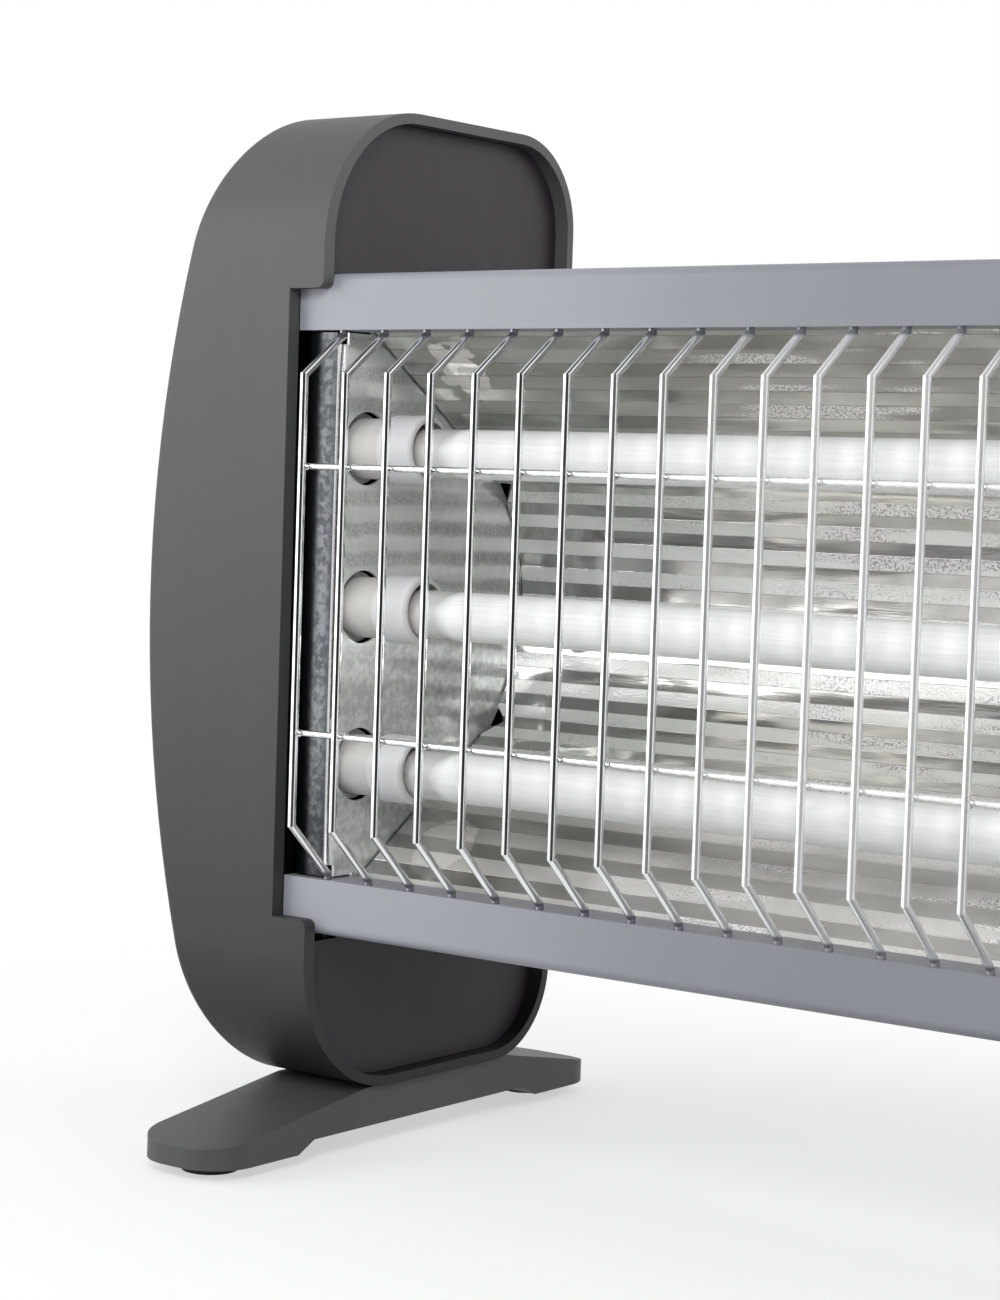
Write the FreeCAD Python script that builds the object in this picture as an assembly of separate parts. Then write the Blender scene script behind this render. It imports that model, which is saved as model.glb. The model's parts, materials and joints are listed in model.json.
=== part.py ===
import FreeCAD, Part
import math
import os

os.makedirs("parts", exist_ok=True)

# Wire guard
wire_pitch = 13.0
wire_count = 25
wire_radius = 1.0
rail_radius = 0.8
upper_slope_height = 10.4
lower_slope_height = 13.4
wire_front_gap = 0.5
leg_gap = 1.15
tail_over = 3.75
rail_heights = (34.2, -30.6)
weld_bite = 0.15

# Sheet casing with its two front trims
trim_set = 12.0
trim_inner = 67.75
trim_height = 13.85
return_depth = 12.0
casing_depth = 92.0
casing_sheet = 0.7
casing_bend = 2.5
casing_over = 12.3
wire_hole_gap = 0.2
vent_long = 30.0
vent_wide = 3.6
vent_row_gap = 9.0
vent_columns = 8
vent_rows = 5
vent_top_row = 8.0
top_vent_set = 14.0
top_vent_rows = 2

# Reflector trough
reflector_sheet = 0.5
reflector_slope = 34.0
knee_gap = 1.0
reflector_lip = 7.5
reflector_rear_gap = 13.0
reflector_gap = 0.3
reflector_notch = 5.0
notch_heights = ((25.6, 31.5, 31.8), (-27.3, -31.0, -34.8))

# End plates
plate_sheet = 0.8
plate_set = 0.2
plate_bend = 2.0
flange_width = 11.0
bush_hole_gap = 0.3
plate_edge_gap = 0.45
plate_corner = 5.0
plate_step_gap = 0.8
wire_notch_drop = 2.2
wire_notch_gap = 1.0
seam_slot_width = 6.2
seam_slot_height = 6.6
seam_slot_set = 21.5
seam_slot_rise = 29.6

# Quartz tubes, heating coils and ceramic bushes
tube_pitch = 39.4
bush_drop = 0.3
tube_seat_gap = 0.1
tube_radius = 6.0
tube_wall = 1.0
coil_gap = 1.4
coil_wall = 0.8
coil_inset = 6.0
bush_rear = 12.0
bush_disc_front = 2.0
bush_disc_radius = 8.8
bush_front_gap = 0.6
bush_groove_front = 6.0
groove_gap = 0.4
bush_neck_radius = 7.5
bush_collar_start = 9.0
bush_collar_end = 20.0
bush_collar_wall = 1.5
bush_socket = 12.4
socket_gap = 0.9
rod_gap = 0.3
bush_round = 1.2
rod_radius = 1.3
rod_button = 1.5
rod_button_radius = 3.4
tab_length = 6.0
tab_width = 6.3
tab_sheet = 0.8
link_width = 8.0
link_sheet = 1.0
link_over = 6.0

# Retainer strips behind the end plates
retainer_sheet = 1.6
retainer_front_gap = 1.4
retainer_rear = 16.0
retainer_over = 13.8
retainer_foot = 10.0
retainer_slot_gap = 0.3

# End caps
cap_front = 8.0
cap_rear_over = 8.0
cap_over = 42.4
cap_inner = 1.7
cap_band = 45.9
cap_arc = 338.0
cap_front_corner = 36.0
cap_rear_corner = 24.0
cap_wall = 2.6
casing_front_gap = 0.1
cap_edge_round = 2.5
notch_gap = 0.2
notch_lap = 3.8
tab_round = 2.0
web_sheet = 2.5
web_length = 18.0
web_front = -38.0
web_rear = 12.0

# Inner covers
cover_recess = 4.0
cover_sheet = 2.0
cover_fit = 0.2
cover_gap = 0.5
relief_depth = 13.0
relief_height = 2.2
lug_length = 10.0
lug_depth = 12.0
lug_rise = 9.4
lug_offset = 5.0
cap_screw_radius = 1.5
screw_gap = 0.3
cap_screw_length = 11.0
cap_screw_head_radius = 3.4
cap_screw_head = 2.0

# Feet, pads and foot screws
foot_height = 16.0
foot_width = 30.0
foot_half = 80.0
foot_end_height = 8.0
foot_corner = 12.0
foot_top_front = 24.0
foot_top_rear = 36.0
pad_height = 3.0
pad_radius = 7.0
pad_seat = 1.0
pad_gap = 0.3
pad_inset = 14.0
arch_height = 3.0
arch_inset = 30.0
arch_slope = 6.0
foot_screw_spread = 18.0
foot_screw_radius = 1.8
foot_screw_head_radius = 3.8
foot_screw_head = 2.4
foot_screw_length = 20.0
boss_radius = 4.6
boss_height = 10.0

# Rocker switches on the right cap
switch_height = 20.0
bezel_lip = 1.2
bezel_proud = 1.5
housing_wall = 1.4
housing_end_wall = 1.0
housing_depth = 17.0
window_gap = 0.3
rocker_side_gap = 0.3
rocker_end_gap = 1.1
mouth_depth = 9.5
pin_set = 2.5
pin_radius = 1.0
pin_fit = 0.05
pin_seat_fit = 0.02
rocker_width = 9.2
rocker_half = 7.2
rocker_end_proud = 5.0
rocker_middle_proud = 3.6
rocker_rear = 3.2
rocker_rear_half = 3.6
rocker_side_front = 0.6
rocker_tilt = 10.0
blade_width = 6.3
blade_sheet = 0.8
blade_length = 8.0
blade_spread = 5.0

# Tip-over switch in the right cap
plunger_along = 6.0
plunger_radius = 3.0
plunger_gap = 0.3
plunger_collar_radius = 4.2
plunger_collar = 2.0
plunger_travel = 5.0
stem_radius = 2.0
stem_fit = 0.05
stem_length = 20.0
spring_inner = 2.5
spring_outer = 3.6
spring_length = 8.4
tip_half_across = 5.0
tip_half_along = 10.0
tip_height = 18.0
tip_roof = 2.0
tip_leg = 3.0

# Cord gland and terminal block
gland_rise = 31.0
gland_bore = 3.6
gland_body_radius = 7.7
gland_gap = 0.3
gland_flange_radius = 11.0
gland_flange = 3.0
gland_inner_length = 6.0
gland_nut_radius = 10.5
gland_nut_fit = 0.3
gland_nut = 4.0
block_half = 11.0
block_depth = 10.0
block_height = 9.0
block_gap = 8.0
block_hole_radius = 2.0
block_hole_depth = 6.0

# Carry handle on the back
handle_half = 55.0
handle_reach = 32.0
handle_grip = 12.0
handle_thick = 16.0
handle_post = 14.0
handle_round = 4.0
handle_height = 46.0
handle_screw_radius = 2.0
handle_screw_head_radius = 4.0
handle_screw_head = 2.0
handle_screw_length = 14.0

# Positions that follow from the values above
guard_half = wire_pitch * (wire_count - 1) / 2
leg_depth = trim_set + casing_sheet + wire_radius + wire_front_gap
leg_height = trim_inner - leg_gap
guard_rise = leg_height - upper_slope_height
guard_drop = leg_height - lower_slope_height
tail_height = trim_inner + tail_over
trim_outer = trim_inner + trim_height
cap_depth = trim_set + casing_depth + cap_rear_over - cap_front
cap_half_height = trim_outer + cap_over
cap_front_wall = trim_set - cap_front - casing_front_gap
guard_y = -(cap_front + cap_depth / 2)
mid_z = foot_height + cap_half_height
trim_y = guard_y + trim_set
casing_rear = trim_y + casing_depth
casing_half = guard_half + casing_over
inner_half = trim_outer - casing_sheet
plate_y = guard_y + leg_depth + plate_set
tube_y = plate_y + plate_sheet + bush_front_gap + bush_disc_radius
bush_zs = [mid_z - bush_drop + tube_pitch * k for k in (1, 0, -1)]
tube_sink = socket_gap - tube_seat_gap
cap_y0 = guard_y + cap_front
cap_y1 = cap_y0 + cap_depth
cap_in = guard_half + cap_inner
notch_x = casing_half + notch_gap
cap_out = notch_x + cap_band
cover_in = cap_in + cover_recess
cover_out = cover_in + cover_sheet
coil_radius = tube_radius - tube_wall - coil_gap
bush_groove_rear = bush_groove_front + retainer_sheet + groove_gap
bush_socket_radius = tube_radius + socket_gap
bush_collar_radius = bush_socket_radius + bush_collar_wall
lug_height = trim_outer + lug_rise
pad_spread = foot_half - pad_inset
arch_half = foot_half - arch_inset
switch_x = notch_x + cap_band / 2
mouth_width = rocker_width + rocker_side_gap * 2
mouth_height = (rocker_half + rocker_end_gap) * 2
housing_width = mouth_width + housing_wall * 2
housing_height = mouth_height + housing_end_wall * 2
gland_z = foot_height + cap_rear_corner + gland_rise

V = FreeCAD.Vector
CENTRE = V(0, 0, 0)
ALONG_X = V(1, 0, 0)
ALONG_Y = V(0, 1, 0)
ALONG_Z = V(0, 0, 1)


# Outer face of the right cap's arched side at a height
def arch_x(z):
    rise = z - mid_z
    return cap_out - cap_arc + math.sqrt(cap_arc * cap_arc - rise * rise)


foot_x = (cap_in + arch_x(foot_height)) / 2
gland_x = (cover_out + arch_x(gland_z) - cap_wall) / 2
foot_screw_ys = (plunger_along - foot_screw_spread, plunger_along + foot_screw_spread)


def box(x0, x1, y0, y1, z0, z1):
    return Part.makeBox(x1 - x0, y1 - y0, z1 - z0, V(x0, y0, z0))


def rod(start, end, radius):
    axis = end.sub(start)
    return Part.makeCylinder(radius, axis.Length, start, axis)


def prism_x(points, x0, x1):
    loop = [V(x0, y, z) for y, z in points]
    face = Part.Face(Part.makePolygon(loop + loop[:1]))
    return face.extrude(V(x1 - x0, 0, 0))


def mirror_x(shape):
    return shape.mirror(CENTRE, ALONG_X)


def save(name, *solids):
    shape = solids[0] if len(solids) == 1 else Part.makeCompound(list(solids))
    shape.exportStep("parts/" + name + ".step")


def corner(centre, radius, turn):
    angles = [math.radians(turn + step) for step in (0, 45, 90)]
    points = [V(0, radius * math.cos(a), radius * math.sin(a)).add(centre) for a in angles]
    return Part.Arc(*points).toShape()


def rounded_face(x, y0, y1, z0, z1, front_round, rear_round):
    arcs = [
        corner(V(x, y1 - rear_round, z1 - rear_round), rear_round, 0),
        corner(V(x, y0 + front_round, z1 - front_round), front_round, 90),
        corner(V(x, y0 + front_round, z0 + front_round), front_round, 180),
        corner(V(x, y1 - rear_round, z0 + rear_round), rear_round, 270),
    ]
    edges = []
    for arc, following in zip(arcs, arcs[1:] + arcs[:1]):
        edges.append(arc)
        edges.append(Part.makeLine(arc.Vertexes[-1].Point, following.Vertexes[0].Point))
    return Part.Face(Part.Wire(Part.__sortEdges__(edges)))


# Guard: bent uprights in front of two straight rails
def upright(x):
    points = [
        V(x, guard_y + leg_depth, mid_z + tail_height),
        V(x, guard_y + leg_depth, mid_z + leg_height),
        V(x, guard_y, mid_z + guard_rise),
        V(x, guard_y, mid_z - guard_drop),
        V(x, guard_y + leg_depth, mid_z - leg_height),
        V(x, guard_y + leg_depth, mid_z - tail_height),
    ]
    path = Part.makePolygon(points)
    section = Part.Wire(Part.makeCircle(wire_radius, points[0], ALONG_Z))
    return path.makePipeShell([section], True, False, 1)


def wire_guard():
    first = upright(-guard_half)
    wires = [first.translated(V(wire_pitch * k, 0, 0)) for k in range(wire_count)]
    rail_y = guard_y + wire_radius + rail_radius - weld_bite
    for height in rail_heights:
        start = V(-guard_half, rail_y, mid_z + height)
        end = V(guard_half, rail_y, mid_z + height)
        wires.append(rod(start, end, rail_radius))
    return wires[0].multiFuse(wires[1:])


# Casing: bent wrapper with front trims, return flanges, wire holes and vents
def casing_vents():
    vents = []
    top_z = mid_z + vent_top_row
    vent_pitch = guard_half * 2 / vent_columns
    first_x = -vent_pitch * (vent_columns - 1) / 2
    for column in range(vent_columns):
        x = first_x + vent_pitch * column
        for row in range(vent_rows):
            z = top_z - vent_row_gap * row
            vents.append(box(x - vent_long / 2, x + vent_long / 2, casing_rear - casing_bend,
                             casing_rear + casing_bend, z - vent_wide / 2, z + vent_wide / 2))
        for row in range(top_vent_rows):
            y = casing_rear - top_vent_set - vent_row_gap * row
            vents.append(box(x - vent_long / 2, x + vent_long / 2, y - vent_wide / 2, y + vent_wide / 2,
                             mid_z + inner_half - casing_bend, mid_z + trim_outer + casing_bend))
    return vents


def casing():
    outer = rounded_face(-casing_half, trim_y, casing_rear, mid_z - trim_outer, mid_z + trim_outer,
                         casing_bend, casing_bend)
    inner_bend = casing_bend - casing_sheet
    inner = rounded_face(-casing_half, trim_y + casing_sheet, casing_rear - casing_sheet, mid_z - inner_half,
                         mid_z + inner_half, inner_bend, inner_bend)
    span = V(casing_half * 2, 0, 0)
    body = outer.extrude(span).cut(inner.extrude(span))
    body = body.cut(box(-casing_half, casing_half, trim_y, trim_y + casing_sheet * 2,
                        mid_z - trim_inner, mid_z + trim_inner))
    flange_rear = trim_y + return_depth
    upper = box(-casing_half, casing_half, trim_y, flange_rear,
                mid_z + trim_inner, mid_z + trim_inner + casing_sheet)
    lower = box(-casing_half, casing_half, trim_y, flange_rear,
                mid_z - trim_inner - casing_sheet, mid_z - trim_inner)
    body = body.multiFuse([upper, lower]).removeSplitter()
    holes = casing_vents()
    for k in range(wire_count):
        x = -guard_half + wire_pitch * k
        for side in (1, -1):
            low = V(x, guard_y + leg_depth, mid_z + side * (trim_inner - casing_sheet))
            high = V(x, guard_y + leg_depth, mid_z + side * (trim_inner + casing_sheet * 2))
            holes.append(rod(low, high, wire_radius + wire_hole_gap))
    for x in (-handle_half + handle_post / 2, handle_half - handle_post / 2):
        start = V(x, casing_rear - casing_sheet * 2, mid_z + handle_height)
        holes.append(rod(start, start.add(V(0, casing_sheet * 4, 0)), handle_screw_radius + screw_gap))
    return body.cut(Part.makeCompound(holes))


# Reflector: sloping walls run into one large arc at the back
def reflector():
    slope = math.radians(reflector_slope)
    lean = (math.sin(slope), math.cos(slope))
    knee_y = trim_y + return_depth + knee_gap
    knee_z = trim_inner + casing_sheet
    back_y = casing_rear - reflector_rear_gap
    reach = knee_z * lean[1] - (back_y - knee_y) * lean[0]
    radius = reach / (1 - lean[0])
    centre = V(0, back_y - radius, mid_z)
    lip_y = knee_y - reflector_lip
    half = guard_half - reflector_gap
    miter = reflector_sheet / (1 + lean[1])

    def place(y, z):
        return V(-half, y, mid_z + z)

    def wall(offset):
        shift = miter * lean[0] * offset
        r = radius + reflector_sheet * offset
        lift = reflector_sheet * offset
        tangent_y = centre.y + r * lean[0]
        tangent_z = r * lean[1]
        return [
            place(lip_y, knee_z + lift),
            place(knee_y + shift, knee_z + lift),
            place(tangent_y, tangent_z),
            place(centre.y + r, 0),
            place(tangent_y, -tangent_z),
            place(knee_y + shift, -knee_z - lift),
            place(lip_y, -knee_z - lift),
        ]

    def run(points):
        return [
            Part.makeLine(points[0], points[1]),
            Part.makeLine(points[1], points[2]),
            Part.Arc(points[2], points[3], points[4]).toShape(),
            Part.makeLine(points[4], points[5]),
            Part.makeLine(points[5], points[6]),
        ]

    near = wall(0)
    far = wall(1)
    ends = [Part.makeLine(near[0], far[0]), Part.makeLine(near[-1], far[-1])]
    outline = Part.Wire(Part.__sortEdges__(run(near) + run(far) + ends))
    trough = Part.Face(outline).extrude(V(half * 2, 0, 0))
    notches = []
    for inner, tip, outer in notch_heights:
        for side in (1, -1):
            edge = [(half, inner), (half - reflector_notch, tip), (half, outer)]
            loop = [V(side * x, centre.y, mid_z + z) for x, z in edge]
            face = Part.Face(Part.makePolygon(loop + loop[:1]))
            notches.append(face.extrude(V(0, radius + reflector_sheet, 0)))
    return trough.cut(Part.makeCompound(notches))


# End plate: bulkhead with bush holes and a front flange folded outwards
def end_plate():
    x0 = -guard_half - plate_sheet
    x1 = -guard_half
    step_y = trim_y + return_depth + plate_step_gap
    rear = casing_rear - casing_sheet
    low = trim_inner - plate_edge_gap
    points = [
        (plate_y, mid_z - low),
        (step_y, mid_z - low),
        (step_y, mid_z - inner_half),
        (rear - plate_corner, mid_z - inner_half),
        (rear, mid_z - inner_half + plate_corner),
        (rear, mid_z + inner_half - plate_corner),
        (rear - plate_corner, mid_z + inner_half),
        (step_y, mid_z + inner_half),
        (step_y, mid_z + low),
        (plate_y, mid_z + low),
    ]
    web = prism_x(points, x0, x1)
    flange = box(-guard_half - flange_width, x1, plate_y, plate_y + plate_sheet, mid_z - low, mid_z + low)
    body = web.fuse(flange).removeSplitter()
    inner = [e for e in body.Edges if abs(e.BoundBox.XMax - x0) < plate_sheet / 4
             and abs(e.BoundBox.YMax - plate_y - plate_sheet) < plate_sheet / 4 and e.BoundBox.ZLength > low]
    body = body.makeFillet(plate_bend - plate_sheet, inner)
    bend = [e for e in body.Edges if abs(e.BoundBox.XMin - x1) < plate_sheet / 4
            and abs(e.BoundBox.YMax - plate_y) < plate_sheet / 4 and e.BoundBox.ZLength > low]
    body = body.makeFillet(plate_bend, bend)
    holes = []
    for z in bush_zs:
        start = V(x0 - plate_sheet, tube_y, z)
        holes.append(rod(start, start.add(V(plate_sheet * 3, 0, 0)), bush_disc_radius + bush_hole_gap))
    for side in (1, -1):
        slot_y = casing_rear - seam_slot_set
        slot_z = mid_z + side * seam_slot_rise
        slot = [
            (slot_y - seam_slot_width / 2, slot_z + side * seam_slot_height / 2),
            (slot_y + seam_slot_width / 2, slot_z + side * seam_slot_height / 2),
            (slot_y + seam_slot_width / 4, slot_z - side * seam_slot_height / 2),
        ]
        holes.append(prism_x(slot, x0 - plate_sheet, x1 + plate_sheet))
        near_z = mid_z + side * (leg_height - wire_notch_drop)
        far_z = mid_z + side * trim_inner
        holes.append(box(x1 - wire_radius - wire_notch_gap, x1 + plate_sheet, plate_y - plate_sheet,
                         plate_y + plate_bend, min(near_z, far_z), max(near_z, far_z)))
    return body.cut(Part.makeCompound(holes))


# Ceramic bush: rear body, clip groove, neck and socket collar on one axis
def bush(z):
    bore = rod_radius + rod_gap
    profile = [
        (-bush_rear, bore),
        (-bush_rear, bush_disc_radius),
        (-bush_groove_rear, bush_disc_radius),
        (-bush_groove_rear, bush_neck_radius),
        (-bush_groove_front, bush_neck_radius),
        (-bush_groove_front, bush_disc_radius),
        (-bush_disc_front, bush_disc_radius),
        (-bush_disc_front, bush_neck_radius),
        (bush_collar_start, bush_neck_radius),
        (bush_collar_start + bush_round / 4, bush_collar_radius - bush_round / 3),
        (bush_collar_start + bush_round, bush_collar_radius),
        (bush_collar_end - bush_round / 2, bush_collar_radius),
        (bush_collar_end, bush_collar_radius - bush_round / 2),
        (bush_collar_end, bush_socket_radius),
        (bush_socket, bush_socket_radius),
        (bush_socket, bore),
    ]
    loop = [V(-guard_half + s, tube_y + r, z) for s, r in profile]
    face = Part.Face(Part.makePolygon(loop + loop[:1]))
    return face.revolve(V(-guard_half, tube_y, z), ALONG_X, 360)


def quartz_tube(z):
    half = guard_half - bush_socket
    start = V(-half, tube_y, z)
    end = V(half, tube_y, z)
    return rod(start, end, tube_radius).cut(rod(start, end, tube_radius - tube_wall))


def heating_coil(z):
    half = guard_half - bush_socket - coil_inset
    start = V(-half, tube_y, z)
    end = V(half, tube_y, z)
    return rod(start, end, coil_radius).cut(rod(start, end, coil_radius - coil_wall))


# Terminal rod: button on the coil end, rod through the bush, flat tab behind it
def terminal(z):
    coil_end = -guard_half + bush_socket + coil_inset
    rear = -guard_half - bush_rear
    button = rod(V(coil_end - rod_button, tube_y, z), V(coil_end, tube_y, z), rod_button_radius)
    shaft = rod(V(rear - tab_sheet, tube_y, z), V(coil_end - rod_button, tube_y, z), rod_radius)
    tab = box(rear - tab_sheet, rear, tube_y - tab_width / 2, tube_y + tab_length + tab_width / 2,
              z - tab_width / 2, z + tab_width / 2)
    return button.multiFuse([shaft, tab]).removeSplitter()


def link_bar():
    x1 = -guard_half - bush_rear - tab_sheet
    return box(x1 - link_sheet, x1, tube_y - link_width / 2, tube_y + link_width / 2,
               bush_zs[-1] - link_over, bush_zs[0] + link_over)


# Retainer: strip with open slots that sit in the bush grooves, two folded feet
def retainer():
    middle = -guard_half - (bush_groove_rear + bush_groove_front) / 2
    x0 = middle - retainer_sheet / 2
    x1 = middle + retainer_sheet / 2
    y0 = plate_y + plate_sheet + retainer_front_gap
    y1 = tube_y + retainer_rear
    half = tube_pitch + bush_drop + retainer_over
    strip = box(x0, x1, y0, y1, mid_z - half, mid_z + half)
    slot = bush_neck_radius + retainer_slot_gap
    cuts = []
    for z in bush_zs:
        cuts.append(rod(V(x0 - retainer_sheet, tube_y, z), V(x1 + retainer_sheet, tube_y, z), slot))
        cuts.append(box(x0 - retainer_sheet, x1 + retainer_sheet, y0 - retainer_sheet, tube_y,
                        z - slot, z + slot))
    strip = strip.cut(Part.makeCompound(cuts))
    feet = []
    for side in (1, -1):
        far = mid_z + side * half
        near = far - side * retainer_sheet
        feet.append(box(x1, -guard_half - plate_sheet, tube_y - retainer_sheet, tube_y + retainer_foot,
                        min(near, far), max(near, far)))
    return strip.multiFuse(feet).removeSplitter()


# End cap: hollow shell with arched outer side, open towards the body
def cap_block(wall, front_wall, inner_edge):
    y0 = cap_y0 + front_wall
    y1 = cap_y1 - wall
    half = cap_half_height - wall
    front_round = cap_front_corner - front_wall
    rear_round = cap_rear_corner - wall
    side = rounded_face(-cap_out, y0, y1, mid_z - half, mid_z + half, front_round, rear_round)
    block = side.extrude(V(cap_out - inner_edge, 0, 0))
    arc_radius = cap_arc - wall
    arch = Part.makeCylinder(arc_radius, y1 - y0, V(-cap_out + cap_arc, y0, mid_z), ALONG_Y)
    return block.common(arch)


def cap_shell():
    block = cap_block(0, 0, cap_in)
    round_faces = [f for f in block.Faces if f.Surface.TypeId == "Part::GeomCylinder"]
    arched = max(round_faces, key=lambda f: f.Surface.Radius)
    block = block.makeFillet(cap_edge_round, arched.Edges)
    shell = block.cut(cap_block(cap_wall, cap_front_wall, cap_in - cap_wall))
    ribs = []
    for side in (1, -1):
        near = mid_z + side * trim_outer
        far = mid_z + side * cap_half_height
        for y in (web_front, web_rear):
            rib = box(-cover_out - web_sheet, -cover_out, y, y + web_length, min(near, far), max(near, far))
            ribs.append(rib.common(block))
    for y in foot_screw_ys:
        start = V(-foot_x, y, foot_height)
        ribs.append(rod(start, start.add(V(0, 0, cap_wall + boss_height)), boss_radius))
    shell = shell.multiFuse(ribs).removeSplitter()
    notch_half = trim_outer - notch_lap
    cuts = [box(-notch_x, -cap_in + cap_wall, cap_y0 - cap_wall, cap_y0 + cap_front_wall + cap_wall,
                mid_z - notch_half, mid_z + notch_half)]
    for y in foot_screw_ys:
        start = V(-foot_x, y, foot_height - cap_wall)
        end = start.add(V(0, 0, cap_wall * 3 + boss_height))
        cuts.append(rod(start, end, foot_screw_radius + screw_gap))
    for side in (1, -1):
        start = V(-cover_out - lug_offset, cap_y1 - cap_wall * 2, mid_z + side * lug_height)
        cuts.append(rod(start, start.add(V(0, cap_wall * 4, 0)), cap_screw_radius + screw_gap))
    shell = shell.cut(Part.makeCompound(cuts))
    near = tab_round / 8
    tabs = [e for e in shell.Edges if abs(e.BoundBox.XMin + cap_in) < near and e.BoundBox.XLength < near
            and abs(abs(e.BoundBox.Center.z - mid_z) - notch_half) < near and e.BoundBox.ZLength < near
            and e.BoundBox.YMax < cap_y0 + cap_front_wall + near]
    return shell.makeFillet(tab_round, tabs)


def cap_right():
    cuts = []
    half_x = housing_width / 2 + window_gap
    half_z = housing_height / 2 + window_gap
    for side in (1, -1):
        z = mid_z + side * switch_height
        cuts.append(box(switch_x - half_x, switch_x + half_x, cap_y0 - cap_wall,
                        cap_y0 + cap_front_wall + cap_wall, z - half_z, z + half_z))
    start = V(foot_x, plunger_along, foot_height - cap_wall)
    cuts.append(rod(start, start.add(V(0, 0, cap_wall * 3)), plunger_radius + plunger_gap))
    start = V(gland_x, cap_y1 - cap_wall * 2, gland_z)
    cuts.append(rod(start, start.add(V(0, cap_wall * 4, 0)), gland_body_radius + gland_gap))
    return mirror_x(cap_shell()).cut(Part.makeCompound(cuts))


# Inner cover: recessed wall around the casing with two screw lugs
def inner_cover():
    y0 = cap_y0 + cap_front_wall + cover_fit
    y1 = cap_y1 - cap_wall - cover_fit
    half = cap_half_height - cap_wall - cover_fit
    front_round = cap_front_corner - cap_front_wall - cover_fit
    rear_round = cap_rear_corner - cap_wall - cover_fit
    side = rounded_face(-cover_out, y0, y1, mid_z - half, mid_z + half, front_round, rear_round)
    wall = side.extrude(V(cover_sheet, 0, 0))
    opening = trim_outer + cover_gap
    wall = wall.cut(box(-cover_out - cover_sheet, -cover_in + cover_sheet, cap_y0, casing_rear + cover_gap,
                        mid_z - opening, mid_z + opening))
    relief_rear = cap_y0 + cap_front_wall + relief_depth
    wall = wall.cut(box(-cover_out - cover_sheet, -cover_in + cover_sheet, cap_y0, relief_rear,
                        mid_z - opening - relief_height, mid_z - opening))
    lugs = []
    holes = []
    for end in (1, -1):
        z = mid_z + end * lug_height
        x0 = -cover_out - lug_length
        lugs.append(box(x0, -cover_out, y1 - lug_depth, y1, z - lug_offset, z + lug_offset))
        start = V(-cover_out - lug_offset, y1 - lug_depth - cover_sheet, z)
        end_point = start.add(V(0, lug_depth + cover_sheet * 2, 0))
        holes.append(rod(start, end_point, cap_screw_radius + screw_gap))
    return wall.multiFuse(lugs).removeSplitter().cut(Part.makeCompound(holes))


def cap_screw(side, end):
    x = side * (cover_out + lug_offset)
    z = mid_z + end * lug_height
    head = rod(V(x, cap_y1, z), V(x, cap_y1 + cap_screw_head, z), cap_screw_head_radius)
    shank = rod(V(x, cap_y1 - cap_screw_length, z), V(x, cap_y1, z), cap_screw_radius)
    return head.fuse(shank)


# Foot: tapered bar with an arch below, pad seats and screw holes
def foot():
    profile = [
        (-foot_half, pad_height),
        (-foot_half, foot_end_height),
        (-foot_top_front, foot_height),
        (foot_top_rear, foot_height),
        (foot_half, foot_end_height),
        (foot_half, pad_height),
        (arch_half, pad_height),
        (arch_half - arch_slope, pad_height + arch_height),
        (arch_slope - arch_half, pad_height + arch_height),
        (-arch_half, pad_height),
    ]
    bar = prism_x(profile, -foot_x - foot_width / 2, -foot_x + foot_width / 2)
    corners = [e for e in bar.Edges if abs(e.BoundBox.ZLength - foot_end_height + pad_height) < pad_seat / 4
               and e.BoundBox.XLength < pad_seat and e.BoundBox.YLength < pad_seat]
    bar = bar.makeFillet(foot_corner, corners)
    cuts = []
    for y in (-pad_spread, pad_spread):
        start = V(-foot_x, y, 0)
        cuts.append(rod(start, start.add(V(0, 0, pad_height + pad_seat)), pad_radius + pad_gap))
    for y in foot_screw_ys:
        start = V(-foot_x, y, 0)
        cuts.append(rod(start, start.add(V(0, 0, foot_height + pad_height)), foot_screw_radius + screw_gap))
    return bar.cut(Part.makeCompound(cuts))


def foot_right():
    start = V(foot_x, plunger_along, 0)
    hole = rod(start, start.add(V(0, 0, foot_height + pad_height)), plunger_radius + plunger_gap)
    return mirror_x(foot()).cut(hole)


def pad(side, end):
    start = V(side * foot_x, end * pad_spread, 0)
    return rod(start, start.add(V(0, 0, pad_height + pad_seat)), pad_radius)


def foot_screw(side, y):
    seat = V(side * foot_x, y, pad_height + arch_height)
    head = rod(seat.sub(V(0, 0, foot_screw_head)), seat, foot_screw_head_radius)
    shank = rod(seat, seat.add(V(0, 0, foot_screw_length)), foot_screw_radius)
    return head.fuse(shank)


# Rocker switch: housing with bezel, pivot pin and a rocker shown switched off
def switch_body(z):
    x = switch_x
    half_x = housing_width / 2 + bezel_lip
    half_z = housing_height / 2 + bezel_lip
    bezel = box(x - half_x, x + half_x, cap_y0 - bezel_proud, cap_y0, z - half_z, z + half_z)
    housing = box(x - housing_width / 2, x + housing_width / 2, cap_y0, cap_y0 + housing_depth,
                  z - housing_height / 2, z + housing_height / 2)
    blades = []
    for side in (1, -1):
        blades.append(box(x - blade_width / 2, x + blade_width / 2, cap_y0 + housing_depth,
                          cap_y0 + housing_depth + blade_length, z + side * blade_spread - blade_sheet / 2,
                          z + side * blade_spread + blade_sheet / 2))
    body = bezel.multiFuse([housing] + blades).removeSplitter()
    mouth = box(x - mouth_width / 2, x + mouth_width / 2, cap_y0 - bezel_proud * 2, cap_y0 + mouth_depth,
                z - mouth_height / 2, z + mouth_height / 2)
    axle = pin_line(z, pin_radius + pin_seat_fit)
    return body.cut(mouth).cut(axle)


def pin_line(z, radius):
    y = cap_y0 + pin_set
    return rod(V(switch_x - housing_width / 2, y, z), V(switch_x + housing_width / 2, y, z), radius)


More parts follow.
